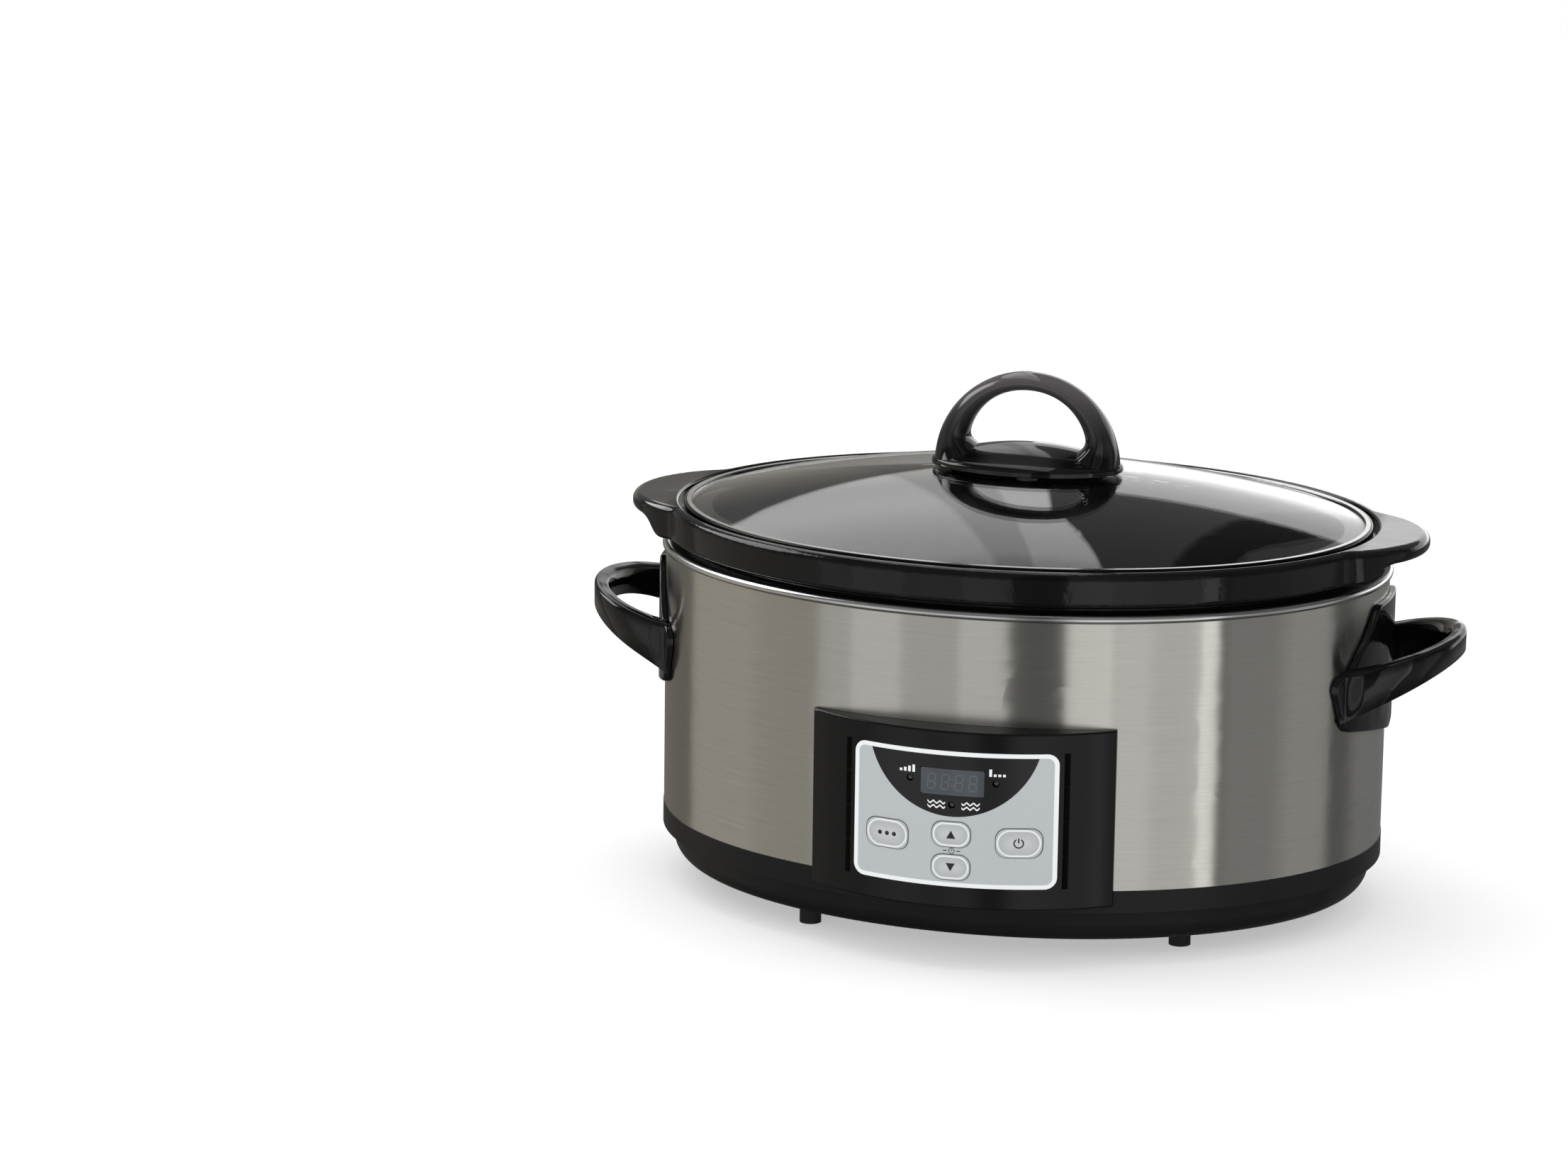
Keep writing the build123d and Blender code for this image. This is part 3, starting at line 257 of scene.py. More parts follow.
def feed(shader, socket, value):
    """Joins a varying value to a socket of the shader."""
    value.tree.links.new(value.socket, shader.inputs[socket])


def dress(material, *names):
    """Gives CAD pieces a material."""
    for name in names:
        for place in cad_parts[name].material_slots:
            place.material = material


def moulded_black(name, colour, roughness, grain, sheen):
    """Black plastic with mould grain, faint dust and slightly uneven gloss."""
    material, shader, shade = finish(name, {"Specular IOR Level": sheen})
    place = shade.place()
    speck = place.noise(1800.0)
    cloud = place.noise(22.0, 4.0)
    darker = (*[part * 0.8 for part in colour], 1)
    lighter = (*[part * 1.25 for part in colour], 1)
    feed(shader, "Base Color", (cloud * 0.6 + speck * 0.4).ramp(0.3, 0.7).blend(darker, lighter))
    feed(shader, "Roughness", roughness + (cloud - 0.5) * 0.08 + (speck - 0.5) * 0.05)
    feed(shader, "Normal", speck.bump(grain, 0.2 * mm))
    return material


base_black = moulded_black("base_black", (0.007, 0.007, 0.0075), 0.36, 0.25, 0.25)
dress(base_black, "base_pan")

# Feet and cord gland: small rubber and nylon pieces pushed into the base.
# They are plain matt black and show only at the edge of the base.
rubber_black = moulded_black("rubber_black", (0.012, 0.012, 0.012), 0.62, 0.5, 0.3)
dress(rubber_black, "feet", "cord_gland")

# Wrap: one sheet of stainless steel rolled to an oval and set between the base and the rim bead.
# The brushing runs level all round, so lights stretch to upright bands.
steel, steel_shader, steel_shade = finish(
    "brushed_steel", {"Metallic": 1.0, "Anisotropic": 0.95, "Anisotropic Rotation": 0.25}
)
steel_x, steel_y, steel_z = steel_shade.place().split()
steel_turn = steel_shade.math("ARCTAN2", steel_y, steel_x)
along_brush = steel_shade.node(
    "ShaderNodeCombineXYZ", values={0: steel_turn * 0.6, 1: 0.0, 2: steel_z * 200.0}
)
strokes = along_brush.noise(12.0, 6.0) * 0.6 + along_brush.noise(3.0, 4.0) * 0.4
steel_tone = strokes.ramp(0.3, 0.7).blend((0.61, 0.6, 0.553, 1), (0.66, 0.65, 0.6, 1))
feed(steel_shader, "Base Color", steel_tone)
feed(steel_shader, "Roughness", 0.19 + (strokes - 0.5) * 0.04)
feed(steel_shader, "Normal", strokes.bump(0.008, 0.1 * mm))
dress(steel, "steel_wrap")

# Heating well: a pan drawn from coated sheet, with its edge curled to a bright bead over the wrap.
# Only the bead and a little of the flange show while the crock is in place, and the upper pan and flange are
# painted almost black as the shade under the crock. The heater's band and the heat shield round the pan are
# of the same sheet.
wrap_half_length = 178.5 * mm
wrap_half_depth = 140.2 * mm
sheet = 0.8 * mm
bead_level = 167.7 * mm
bead_inset = 0.4 * mm
bead_radius = 2.0 * mm
flange_top = bead_level + sheet / 2
well_floor = 44.6 * mm
floor_inset = 100.0 * mm
corner_inset = 35.0 * mm
corner_radius = 12.2 * mm
wall_top_inside = 12.6 * mm
wall_top_outside = 12.0 * mm
flange_shade_from = 150 * mm
flange_shade_full = 166 * mm
well_segments = 288


def oval_place(half_length, half_depth, level):
    """Where a unit circle becomes a level oval."""
    return Matrix.Translation((0, 0, level)) @ Matrix.Diagonal((half_length, half_depth, 1, 1))


def skin_through(shell, places, segments):
    """Draws a closed skin through rings. Each place turns a unit circle into one ring."""
    first = bmesh.ops.create_circle(shell, cap_ends=True, segments=segments, radius=1.0, matrix=places[0])
    edges = list({edge for vert in first["verts"] for edge in vert.link_edges})
    for last, place in zip(places, places[1:]):
        grown = bmesh.ops.extrude_edge_only(shell, edges=edges)["geom"]
        ring = {part for part in grown if isinstance(part, bmesh.types.BMVert)}
        lines = [part for part in grown if isinstance(part, bmesh.types.BMEdge)]
        edges = [line for line in lines if ring.issuperset(line.verts)]
        bmesh.ops.transform(shell, matrix=place @ last.inverted(), verts=list(ring))
    bmesh.ops.edgeloop_fill(shell, edges=edges)


def piece(name, shell, material, body, node):
    """Makes a bmesh an object, shades it, hangs it on its body and sets it in a CAD node's place."""
    sharp_angle = math.radians(40)
    bmesh.ops.recalc_face_normals(shell, faces=shell.faces[:])
    for face in shell.faces:
        face.smooth = True
    data = bpy.data.meshes.new(name)
    shell.to_mesh(data)
    shell.free()
    data.set_sharp_from_angle(angle=sharp_angle)
    data.materials.append(material)
    made = bpy.data.objects.new(name, data)
    bpy.context.scene.collection.objects.link(made)
    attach(made, body)
    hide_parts(node)


def arc(middle_inset, middle_level, radius, first, last, steps):
    """Points on part of a circle in the outline's own plane."""
    turns = [math.radians(first + (last - first) * step / steps) for step in range(steps + 1)]
    return [
        (middle_inset + radius * math.cos(turn), middle_level + radius * math.sin(turn)) for turn in turns
    ]


def oval_reach(shade, across, along, half_length, half_depth):
    """How far out a point lies, where one is on the oval."""
    long_share = across / half_length
    deep_share = along / half_depth
    return shade.math("SQRT", long_share * long_share + deep_share * deep_share)


corner_level = well_floor + corner_radius
well_outline = [
    (floor_inset, well_floor),
    *arc(corner_inset, corner_level, corner_radius, -90, -175, 8),
    (wall_top_inside, flange_top),
    *arc(bead_inset, bead_level, bead_radius, 12, 250, 20),
    *arc(bead_inset, bead_level, bead_radius - sheet, 250, 30, 14),
    (wall_top_outside, flange_top - sheet),
    *arc(corner_inset, corner_level, corner_radius + sheet, -175, -90, 8),
    (floor_inset, well_floor - sheet),
]
well_places = [
    oval_place(wrap_half_length - inset, wrap_half_depth - inset, level) for inset, level in well_outline
]
well_pan = bmesh.new()
skin_through(well_pan, well_places, well_segments)
bead_steel, bead_shader, bead_shade = finish("bead_steel", {"Metallic": 1.0})
bead_place = bead_shade.place()
bead_x, bead_y, bead_z = bead_place.split()
bead_mottle = bead_place.noise(60.0, 5.0)
on_bead = oval_reach(bead_shade, bead_x, bead_y, wrap_half_length, wrap_half_depth).ramp(0.984, 0.987)
# Painted shade: above the lower pan, everything but the bead is coloured almost black, as the shade under the
# crock's rim.
flange_painted_shade = bead_z.ramp(flange_shade_from, flange_shade_full) * (1 - on_bead)
pan_grey = bead_mottle.ramp(0.3, 0.7).blend((0.22, 0.22, 0.225, 1), (0.34, 0.34, 0.34, 1))
pan_tone = flange_painted_shade.blend(pan_grey, (0.03, 0.03, 0.03, 1))
feed(bead_shader, "Base Color", on_bead.blend(pan_tone, (0.78, 0.78, 0.77, 1)))
feed(bead_shader, "Roughness", 0.42 + bead_mottle * 0.1 - on_bead * 0.27)
piece("well_pan", well_pan, bead_steel, "housing", "heating_well")
dress(bead_steel, "heater_band", "heat_shield")

# Small metal parts inside: zinc-plated screws, stud and bolt, and the fuse in its brass can.
# They show only when the cooker is taken apart.
zinc, zinc_shader, zinc_shade = finish("zinc", {"Metallic": 1.0})
zinc_cloud = zinc_shade.place().noise(240.0, 3.0)
feed(zinc_shader, "Base Color", zinc_cloud.blend((0.42, 0.42, 0.43, 1), (0.6, 0.6, 0.58, 1)))
feed(zinc_shader, "Roughness", 0.28 + zinc_cloud * 0.15)
dress(zinc, "clamp_bolt", "well_stud", "stud_sleeve", "stud_washer", "stud_nut", "power_screws")
dress(zinc, "control_screws", "panel_screws", "handle_screws", "knob_washer", "knob_screw")
brass, brass_shader, brass_shade = finish("brass", {"Metallic": 1.0})
brass_cloud = brass_shade.place().noise(300.0)
feed(brass_shader, "Base Color", brass_cloud.blend((0.5, 0.38, 0.18, 1), (0.66, 0.52, 0.27, 1)))
feed(brass_shader, "Roughness", 0.25 + brass_cloud * 0.2)
dress(brass, "thermal_fuse")

# Boards and their parts: green laminate with dark moulded components.
# They sit inside the base and behind the panel.
laminate, laminate_shader, laminate_shade = finish("laminate", {"Roughness": 0.35})
tracks = laminate_shade.node(
    "ShaderNodeTexVoronoi", {"distance": "MANHATTAN"}, {"Vector": laminate_shade.place(), "Scale": 220.0}
)
track_green = tracks.ramp(0.2, 0.3).blend((0.03, 0.16, 0.06, 1), (0.02, 0.09, 0.035, 1))
feed(laminate_shader, "Base Color", track_green)
dress(laminate, "power_board", "control_board")
component_black = moulded_black("component_black", (0.03, 0.03, 0.032), 0.5, 0.3, 0.5)
dress(component_black, "power_relay", "supply_transformer", "filter_capacitor")
dress(component_black, "display_module", "key_switches")

# Panel housing: a gloss black moulding that bows out in front of the wrap, held by screws from inside.
# A narrow vent slot runs down each side of the overlay with painted shade in it, and the face behind the keys
# is painted silver as painted light in the shaded gaps round the keys.
slot_inner = 51.0 * mm
slot_outer = 53.6 * mm
slot_bottom = 40.4 * mm
slot_top = 106.0 * mm
slot_edge = 0.05 * mm
key_face_half_width = 47.1 * mm
key_face_bottom = 42.0 * mm
key_face_top = 74.1 * mm
key_face_edge = 0.1 * mm
housing_black, housing_shader, housing_shade = finish("housing_black", {"Specular IOR Level": 0.3})
housing_place = housing_shade.place()
housing_x, _, housing_z = housing_place.split()
housing_cloud = housing_place.noise(22.0)
# Painted shade: the inside of each vent slot is coloured near black and matt.
slot_shade = abs(housing_x).between(slot_inner, slot_outer, slot_edge)
slot_shade = slot_shade * housing_z.between(slot_bottom, slot_top, slot_edge)
# Painted light: the housing behind the keys is coloured silver, so the shaded gaps round the keys look
# lighter.
painted_light_behind_keys = housing_x.between(-key_face_half_width, key_face_half_width, key_face_edge)
painted_light_behind_keys = painted_light_behind_keys * housing_z.between(key_face_bottom, key_face_top, key_face_edge)
moulding = housing_cloud.blend((0.0033, 0.0033, 0.0036, 1), (0.005, 0.005, 0.0055, 1))
moulding = slot_shade.blend(moulding, (0.0002, 0.0002, 0.0002, 1))
feed(housing_shader, "Base Color", painted_light_behind_keys.blend(moulding, (0.5, 0.53, 0.54, 1)))
feed(housing_shader, "Roughness", 0.17 + housing_cloud * 0.06 + slot_shade * 0.75)
dress(housing_black, "control_housing")

# Overlay: a printed silver film with a white border and a dark half-round field at the top.
# The field carries the display and the lamps, each lamp with a small printed mark, and a clock is
# printed between the time keys. The film is glued into a recess of the housing.
overlay_middle = 73.2 * mm
overlay_half_width = 49.0 * mm
overlay_half_height = 32.8 * mm
overlay_corner = 5.5 * mm
border_width = 2.2 * mm
print_edge = 0.08 * mm
field_edge = 0.1 * mm
field_middle = 116.4 * mm
field_radius = 42.0 * mm
field_top = 103.8 * mm
bar_width = 1.3 * mm
bar_pitch = 2.1 * mm
bar_heights = ((1.2, 1.9, 2.7, 3.5), (3.5, 1.2, 1.2, 1.2))
bar_marks = ((-21.9 * mm, 94.3 * mm), (21.2 * mm, 94.8 * mm))
wave_marks = ((-7.4 * mm, 78.9 * mm), (-7.4 * mm, 81.0 * mm), (9.0 * mm, 78.9 * mm), (9.0 * mm, 81.0 * mm))
wave_pitch = 3.2 * mm
wave_rise = 0.55 * mm
wave_width = 8.6 * mm
wave_line = 0.8 * mm
clock_middle_x = 0.4 * mm
clock_middle_z = 57.95 * mm
clock_radius = 1.35 * mm
clock_line = 0.35 * mm
hand_line = 0.3 * mm
long_hand = 0.9 * mm
short_hand = 0.8 * mm
short_hand_shift = 0.35 * mm
side_bar_shift = 3.2 * mm
side_bar_width = 1.8 * mm
side_bar_line = 0.5 * mm
white_ink = (0.85, 0.87, 0.88, 1)


def reach_past(shade, across, up, half_across, half_up):
    """How far a point lies past the straight core of a rounded rectangle."""
    past_x = shade.math("MAXIMUM", abs(across) - half_across, 0.0)
    past_z = shade.math("MAXIMUM", abs(up) - half_up, 0.0)
    return shade.math("SQRT", past_x * past_x + past_z * past_z)


def bar(across, up, width, tall):
    """A printed bar about a middle."""
    return across.between(-width / 2, width / 2, print_edge) * up.between(-tall / 2, tall / 2, print_edge)


def ring(shade, across, up, radius, line):
    """A printed circle."""
    reach = reach_past(shade, across, up, 0.0, 0.0)
    return reach.between(radius - line / 2, radius + line / 2, print_edge)


overlay_film, overlay_shader, overlay_shade = finish("overlay_film", {})
overlay_place = overlay_shade.place()
overlay_x, _, overlay_z = overlay_place.split()
corner_reach = reach_past(
    overlay_shade,
    overlay_x,
    overlay_z - overlay_middle,
    overlay_half_width - overlay_corner,
    overlay_half_height - overlay_corner,
)
border_start = overlay_corner - border_width
on_border = corner_reach.ramp(border_start - print_edge, border_start + print_edge)
field_reach = reach_past(overlay_shade, overlay_x, overlay_z - field_middle, 0.0, 0.0)
on_field = field_reach.ramp(field_radius - field_edge, field_radius + field_edge, 1.0, 0.0)
on_field = on_field * overlay_z.ramp(field_top - field_edge, field_top + field_edge, 1.0, 0.0)
marks = 0.0
for (mark_x, mark_foot), heights in zip(bar_marks, bar_heights):
    for step, tall in enumerate(heights):
        bar_x = overlay_x - mark_x - (step - 1.5) * bar_pitch
        marks = marks + bar(bar_x, overlay_z - mark_foot - tall / 2 * mm, bar_width, tall * mm)
wave = overlay_shade.math("SINE", overlay_x * (2 * math.pi / wave_pitch)) * wave_rise
for mark_x, mark_z in wave_marks:
    marks = marks + bar(overlay_x - mark_x, overlay_z - mark_z - wave, wave_width, wave_line)
clock_x = overlay_x - clock_middle_x
clock_z = overlay_z - clock_middle_z
clock = ring(overlay_shade, clock_x, clock_z, clock_radius, clock_line)
clock = clock + bar(clock_x, clock_z - long_hand / 2, hand_line, long_hand)
clock = clock + bar(clock_x - short_hand_shift, clock_z, short_hand, hand_line)
clock = clock + bar(abs(clock_x) - side_bar_shift, clock_z, side_bar_width, side_bar_line)
film_speck = overlay_place.noise(2500.0)
silver_print = film_speck.blend((0.43, 0.455, 0.465, 1), (0.52, 0.55, 0.56, 1))
silver_print = clock.ramp(0.2, 0.8).blend(silver_print, (0.03, 0.03, 0.035, 1))
field_print = marks.ramp(0.2, 0.8).blend((0.006, 0.006, 0.007, 1), white_ink)
printed = on_field.blend(silver_print, field_print)
feed(overlay_shader, "Base Color", on_border.blend(printed, white_ink))
feed(overlay_shader, "Roughness", 0.34 + film_speck * 0.1 - on_field * 0.1)
dress(overlay_film, "control_overlay")


# Keys: silver moulded caps with a raised white outline and a dark printed mark, loose in their cut-outs, each
# pressing straight back.
wide_key = (21.0 * mm, 13.8 * mm)
time_key = (18.3 * mm, 12.0 * mm)
key_line_outside = 0.4 * mm
key_line_inside = 1.2 * mm
key_line_edge = 0.15 * mm
key_face_inset = 1.45 * mm
key_dome_inside = 2.2 * mm
key_dome_outside = 0.2 * mm
dot_pitch = 3.6 * mm
dot_radius = 1.05 * mm
dot_edge = 0.1 * mm
power_radius = 2.1 * mm
power_line = 0.65 * mm
power_bar = 2.4 * mm
power_bar_rise = 1.3 * mm
power_gap = (2.1 * mm, 1.8 * mm)
power_gap_rise = 2.0 * mm
arrow_half_width = 2.2 * mm
arrow_foot = 2.0 * mm
arrow_narrowing = 0.56


def key_cap(name, node, width, tall, middle_x, middle_z, mark):
    """A silver key with a white line along its edge and one printed mark."""
    material, shader, shade = finish(name, {})
    place = shade.place()
    place_x, _, place_z = place.split()
    across = place_x - middle_x
    up = place_z - middle_z
    rounding = tall / 2
    reach = reach_past(shade, across, up, width / 2 - rounding, 0.0)
    on_line = reach.between(rounding - key_line_inside, rounding - key_line_outside, key_line_edge)
    # Painted highlight: the middle of each cap is coloured lighter, as light falls on its domed face.
    inside = reach.ramp(0.0, rounding - key_face_inset, 1.0, 0.0)
    speck = place.noise(2500.0)
    silver = speck.blend((0.40, 0.42, 0.43, 1), (0.48, 0.505, 0.515, 1))
    silver_with_painted_light = (inside * 0.7).blend(silver, (0.56, 0.585, 0.595, 1))
    lined = on_line.blend(silver_with_painted_light, (0.8, 0.82, 0.83, 1))
    inked = mark(shade, across, up).ramp(0.2, 0.8).blend(lined, (0.015, 0.015, 0.017, 1))
    feed(shader, "Base Color", inked)
    feed(shader, "Roughness", 0.3 + speck * 0.1)
    dome = reach.ramp(rounding - key_dome_inside, rounding - key_dome_outside, 1.0, 0.0)
    feed(shader, "Normal", dome.bump(0.5, 0.4 * mm))
    dress(material, node)


def three_dots(shade, across, up):
    """Three printed dots in a row."""
    dots = 0.0
    for shift in (-dot_pitch, 0.0, dot_pitch):
        reach = reach_past(shade, across - shift, up, 0.0, 0.0)
        dots = dots + reach.ramp(dot_radius - dot_edge, dot_radius + dot_edge, 1.0, 0.0)
    return dots


def power_ring(shade, across, up):
    """A printed ring, open at the top, with a bar in the gap."""
    gap = bar(across, up - power_gap_rise, *power_gap)
    open_ring = ring(shade, across, up, power_radius, power_line) * (1 - gap)
    return open_ring + bar(across, up - power_bar_rise, power_line, power_bar)


def triangle(across, tall):
    """A printed triangle that narrows as it gets taller."""
    narrowing = abs(across) - arrow_half_width + tall * arrow_narrowing
    return tall.ramp(-print_edge, print_edge) * narrowing.ramp(-print_edge, print_edge, 1.0, 0.0)


def up_arrow(shade, across, up):
    """A printed triangle that points up."""
    return triangle(across, up + arrow_foot)


def down_arrow(shade, across, up):
    """A printed triangle that points down."""
    return triangle(across, arrow_foot - up)


key_cap("mode_key_silver", "mode_button", *wide_key, -31.6 * mm, 63.0 * mm, three_dots)
key_cap("off_key_silver", "off_button", *wide_key, 31.6 * mm, 63.0 * mm, power_ring)
key_cap("up_key_silver", "time_up_button", *time_key, 0.0, 65.9 * mm, up_arrow)
key_cap("down_key_silver", "time_down_button", *time_key, 0.0, 50.0 * mm, down_arrow)

# Display window: a smoked pane flush with the overlay.
# The unlit segments of four digits and a colon show faintly behind it.
window_middle = 90.9 * mm
digit_pitch = 6.6 * mm
digit_lean = 0.09
digit_half_width = 1.75 * mm
digit_half_height = 3.6 * mm
segment_line = 0.7 * mm
level_segment = 2.8 * mm
upright_segment = 2.9 * mm
colon_half_height = 1.6 * mm
colon_dot = 0.4 * mm
colon_edge = 0.15 * mm
window_smoke, window_shader, window_shade = finish("window_smoke", {"Roughness": 0.1})
window_place = window_shade.place()
window_x, _, window_z = window_place.split()
window_up = window_z - window_middle
leaned = window_x - window_up * digit_lean + 2 * digit_pitch
digit_x = window_shade.math("FLOORED_MODULO", leaned, digit_pitch) - digit_pitch / 2
segments = 0.0
for level in (-digit_half_height, 0.0, digit_half_height):
    segments = segments + bar(digit_x, window_up - level, level_segment, segment_line)
for side in (-digit_half_width, digit_half_width):
    for level in (-digit_half_height / 2, digit_half_height / 2):
        segments = segments + bar(digit_x - side, window_up - level, segment_line, upright_segment)
segments = segments * leaned.between(0.0, 4 * digit_pitch, print_edge)
for level in (-colon_half_height, colon_half_height):
    dot_reach = reach_past(window_shade, window_x, window_up - level, 0.0, 0.0)
    segments = segments + dot_reach.ramp(colon_dot, colon_dot + colon_edge, 1.0, 0.0)
smoke = window_place.noise(90.0).blend((0.05, 0.056, 0.066, 1), (0.07, 0.08, 0.09, 1))
ghost_digits = (segments.ramp(0.2, 0.8) * 0.45).blend(smoke, (0.13, 0.145, 0.15, 1))
feed(window_shader, "Base Color", ghost_digits)
dress(window_smoke, "display_window")

# Indicator lamps: three small domes in dark tinted plastic.
# Each pokes through its own hole in the overlay.
lamp_clear, lamp_shader, lamp_shade = finish("lamp_clear", {"Roughness": 0.15})
lamp_cloud = lamp_shade.place().noise(500.0)
feed(lamp_shader, "Base Color", lamp_cloud.blend((0.03, 0.027, 0.027, 1), (0.08, 0.075, 0.075, 1)))
dress(lamp_clear, "indicator_lamps")

# Handles: two gloss black phenolic loops, each moulded in one with its shield-shaped plate and
# screwed on from inside the wrap. The loop rises outwards and tapers, and a soft bulge in its
# gloss makes it full and round between its edges.
loop_root = 176 * mm
loop_root_middle = 123 * mm
loop_root_half_height = 11 * mm
loop_rise = 0.395
loop_taper = 0.125
plate_half_length = 181.6 * mm
plate_half_depth = 143.3 * mm
handle_black, handle_shader, handle_shade = finish("handle_black", {"Specular IOR Level": 0.5})
handle_place = handle_shade.place()
handle_x, handle_y, handle_z = handle_place.split()
handle_wave = handle_place.noise(42.0, 1.0)
handle_speck = handle_place.noise(900.0)
past_root = abs(handle_x) - loop_root
loop_half_height = loop_root_half_height - past_root * loop_taper
loop_up = (handle_z - loop_root_middle - past_root * loop_rise) / loop_half_height
off_plate = oval_reach(handle_shade, handle_x, handle_y, plate_half_length, plate_half_depth).ramp(1.0, 1.04)
bulge = handle_shade.math("MAXIMUM", 1.0 - loop_up * loop_up, 0.0) * off_plate
handle_tone = handle_speck.blend((0.002, 0.002, 0.0022, 1), (0.0045, 0.0045, 0.005, 1))
feed(handle_shader, "Base Color", handle_tone)
feed(handle_shader, "Roughness", 0.06 + handle_speck * 0.04)
feed(handle_shader, "Normal", (handle_wave + bulge * 1.6).bump(0.4, 4.0 * mm))
dress(handle_black, "right_handle", "left_handle")

# Crock: black glazed stoneware, cast in one with a thick rolled rim and two lugs to lift it by.
# It hangs by its rim in the well. The glaze pools on top of the lugs and shines more there.
lug_from = 166 * mm
lug_full = 174 * mm
rim_from = 186 * mm
rim_full = 188 * mm
glaze, glaze_shader, glaze_shade = finish("black_glaze", {"Specular IOR Level": 0.38})
glaze_place = glaze_shade.place()
glaze_x, _, glaze_z = glaze_place.split()
glaze_flow = glaze_place.noise(30.0, 3.0)
glaze_pits = glaze_place.noise(700.0)
pooled = abs(glaze_x).ramp(lug_from, lug_full) * glaze_z.ramp(rim_from, rim_full)
glaze_tone = glaze_flow.blend((0.002, 0.002, 0.0022, 1), (0.006, 0.006, 0.0065, 1))
feed(glaze_shader, "Base Color", glaze_tone)
feed(glaze_shader, "Roughness", 0.05 + glaze_flow * 0.06)
feed(glaze_shader, "Coat Weight", pooled * (0.9 + glaze_flow * 0.1))
feed(glaze_shader, "Normal", (glaze_flow * 0.95 + glaze_pits * 0.05).bump(0.2, 2.0 * mm))
dress(glaze, "crock")

# Lid rim: a channel rolled from polished steel and pressed round the edge of the glass.
# Its inner half is bright, and its outer half is painted almost black as shade, as dark as the crock beside
# it.
rim_half_length = 168.2 * mm
rim_half_depth = 129.9 * mm
rim_unshaded_from = 187.6 * mm
rim_unshaded_full = 188.6 * mm
rim_steel, rim_shader, rim_shade = finish("rim_steel", {"Metallic": 1.0})
rim_place = rim_shade.place()
rim_x, rim_y, rim_z = rim_place.split()
rim_cloud = rim_place.noise(80.0)
rim_bright = rim_cloud.blend((0.66, 0.66, 0.65, 1), (0.8, 0.8, 0.79, 1))
# Painted shade: the outer, lower part of the rim is coloured almost black.
rim_unshaded = oval_reach(rim_shade, rim_x, rim_y, rim_half_length, rim_half_depth).ramp(0.999, 1.001, 1.0, 0.0)
rim_unshaded = rim_unshaded * rim_z.ramp(rim_unshaded_from, rim_unshaded_full)
feed(rim_shader, "Base Color", rim_unshaded.blend((0.02, 0.02, 0.02, 1), rim_bright))
feed(rim_shader, "Roughness", 0.12 + rim_cloud * 0.1)
dress(rim_steel, "lid_rim")

# Lid glass: one clear tempered pane pressed to a low dome, with a hole for the knob's screw.
# A few faint smears dull its gloss.
clear_glass, glass_shader, glass_shade = finish(
    "clear_glass", {"Transmission Weight": 1.0, "IOR": 1.5, "Base Color": (0.97, 0.985, 0.98, 1)}
)
glass_smear = glass_shade.place().noise(14.0)
feed(glass_shader, "Roughness", glass_smear.ramp(0.75, 0.95, 0.0, 0.004))
dress(clear_glass, "lid_glass")

# Knob seal: a flat ring of black rubber between the knob and the glass.
# It is of the same rubber as the feet, and the knob's screw clamps it.
dress(rubber_black, "knob_seal")

# Knob: one gloss black phenolic moulding, screwed on through the glass. An arch grows out of a low
# domed foot: it is thin and rounded at the crown and spreads into both ends of the foot.
# Towards the crown the black is painted lighter as a highlight, and the mound under the arch is painted a
# little lighter as a reflection.
knob_half_length = 47.4 * mm
knob_half_depth = 27.9 * mm
foot_segments = 160
foot_edge = (
    (0.2, 211.9),
    (0.93, 211.7),
    (0.97, 210.6),
    (0.99, 210.6),
    (1.0, 210.9),
    (1.0, 212.6),
    (0.993, 213.4),
    (0.975, 213.9),
)
dome_crown = 222.35
dome_drop = 8.7
dome_shares = [0.93 - 0.05 * step for step in range(19)]
arch_level = 211.5 * mm
arch_radius = 45.9 * mm
arch_steps = 120
arch_segments = 64
crown_thickness = 8.8 * mm
crown_half_depth = 9.6 * mm
leg_spread = 6.4 * mm
leg_flare = 10.0 * mm
root_spread = 16.0 * mm
root_sine = 0.27
root_fade = 0.045
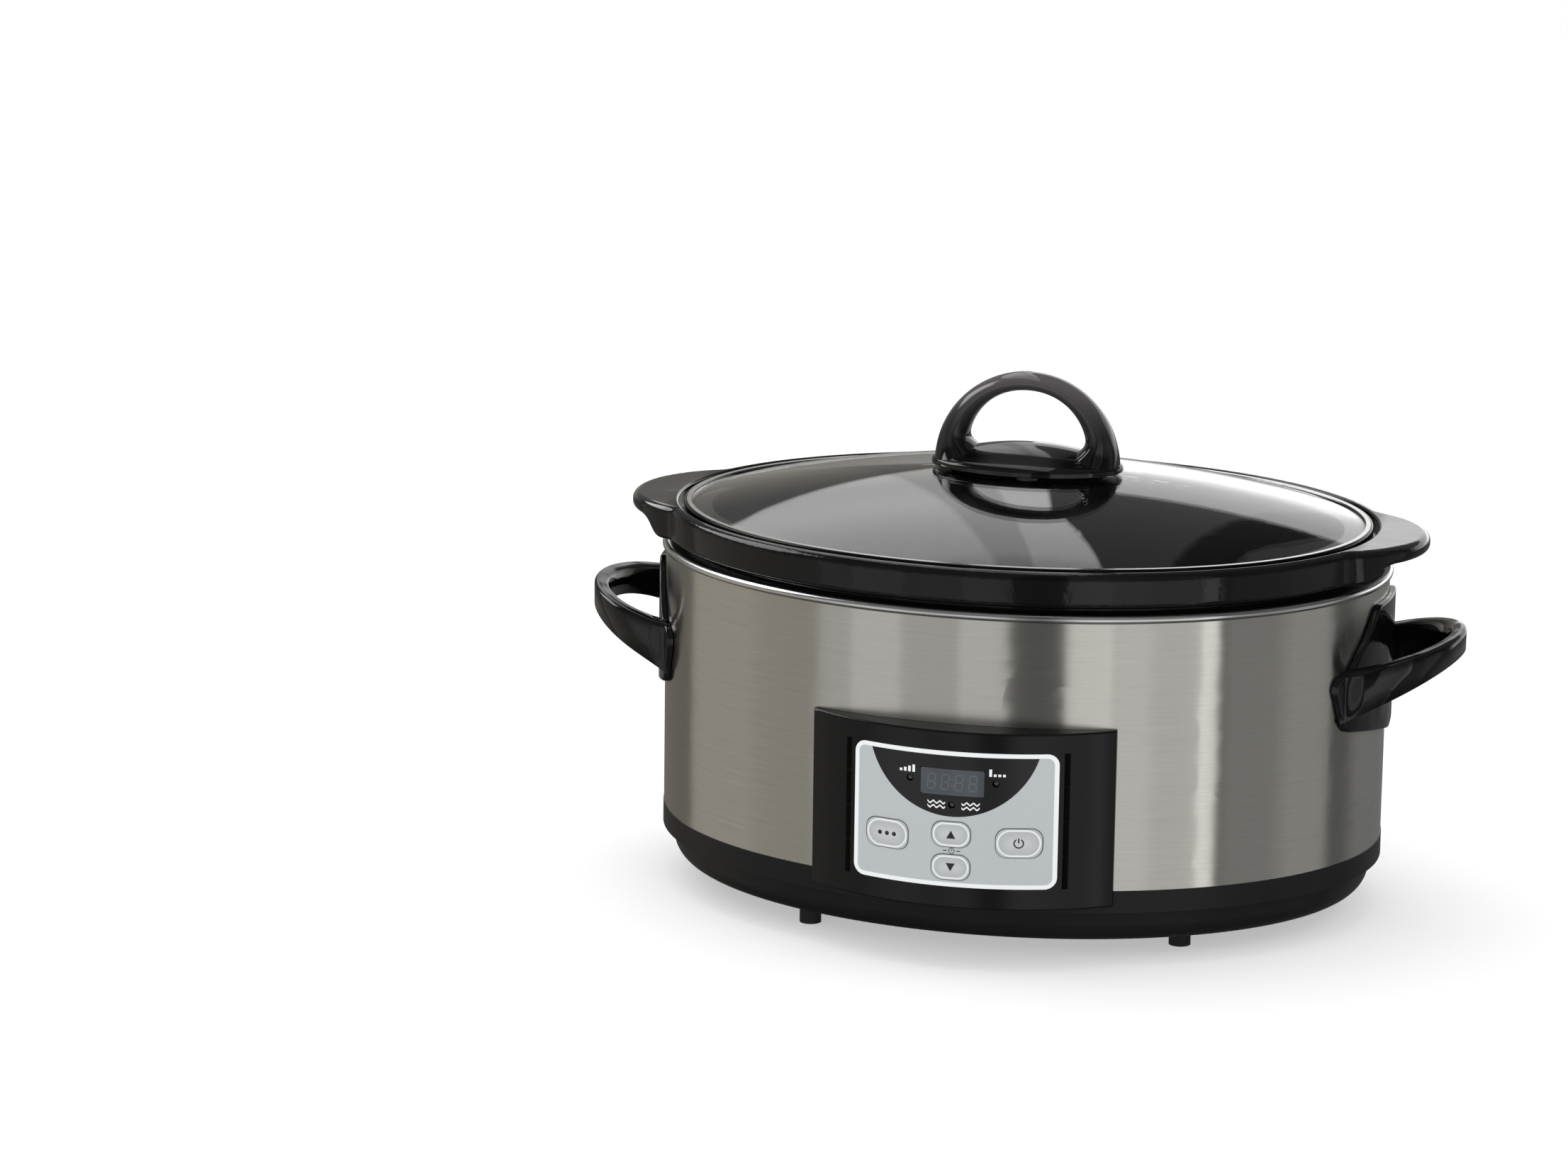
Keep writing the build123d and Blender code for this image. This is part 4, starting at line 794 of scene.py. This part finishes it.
crown_light_from = 218 * mm
crown_light_full = 258 * mm
mound_full = 10 * mm
mound_end = 24 * mm
mound_bottom = 215.2 * mm
mound_top = 222.8 * mm
mound_edge = 0.5 * mm
foot_outline = [*foot_edge, *((share, dome_crown - dome_drop * share**2) for share in dome_shares)]
foot_places = [
    oval_place(knob_half_length * share, knob_half_depth * share, level * mm) for share, level in foot_outline
]
arch_places = []
for step in range(arch_steps + 1):
    turn = math.pi * step / arch_steps
    root = root_spread / (1 + math.exp((math.sin(turn) - root_sine) / root_fade))
    thickness = crown_thickness + leg_spread * abs(math.cos(turn)) ** 3 + root
    half_depth = crown_half_depth + leg_flare * (1 - math.sin(turn)) ** 4
    reach = arch_radius - thickness / 2
    middle = Matrix.Translation((reach * math.cos(turn), 0, arch_level + reach * math.sin(turn)))
    section = Matrix.Diagonal((thickness / 2, half_depth, 1, 1))
    arch_places.append(middle @ Matrix.Rotation(-turn, 4, "Y") @ section)
knob_shell = bmesh.new()
skin_through(knob_shell, foot_places, foot_segments)
skin_through(knob_shell, arch_places, arch_segments)
knob_black, knob_shader, knob_shade = finish("knob_black", {"Specular IOR Level": 0.5})
knob_place = knob_shade.place()
knob_x, _, knob_z = knob_place.split()
knob_cloud = knob_place.noise(25.0, 3.0)
# Painted highlight: the colour grows lighter towards the crown, where light falls on its top.
crown_painted_light = knob_z.ramp(crown_light_from, crown_light_full) * (0.85 + knob_cloud * 0.3)
# Painted reflection: the mound under the arch is coloured a little lighter than the rest of the knob.
on_mound = abs(knob_x).ramp(mound_full, mound_end, 1.0, 0.0)
on_mound = on_mound * knob_z.between(mound_bottom, mound_top, mound_edge)
mound_painted_light = on_mound.blend((0.003, 0.003, 0.0033, 1), (0.018, 0.018, 0.019, 1))
feed(knob_shader, "Base Color", crown_painted_light.blend(mound_painted_light, (0.075, 0.07, 0.07, 1)))
feed(knob_shader, "Roughness", 0.04 + knob_cloud * 0.05)
piece("knob_moulding", knob_shell, knob_black, "lid", "lid_knob")
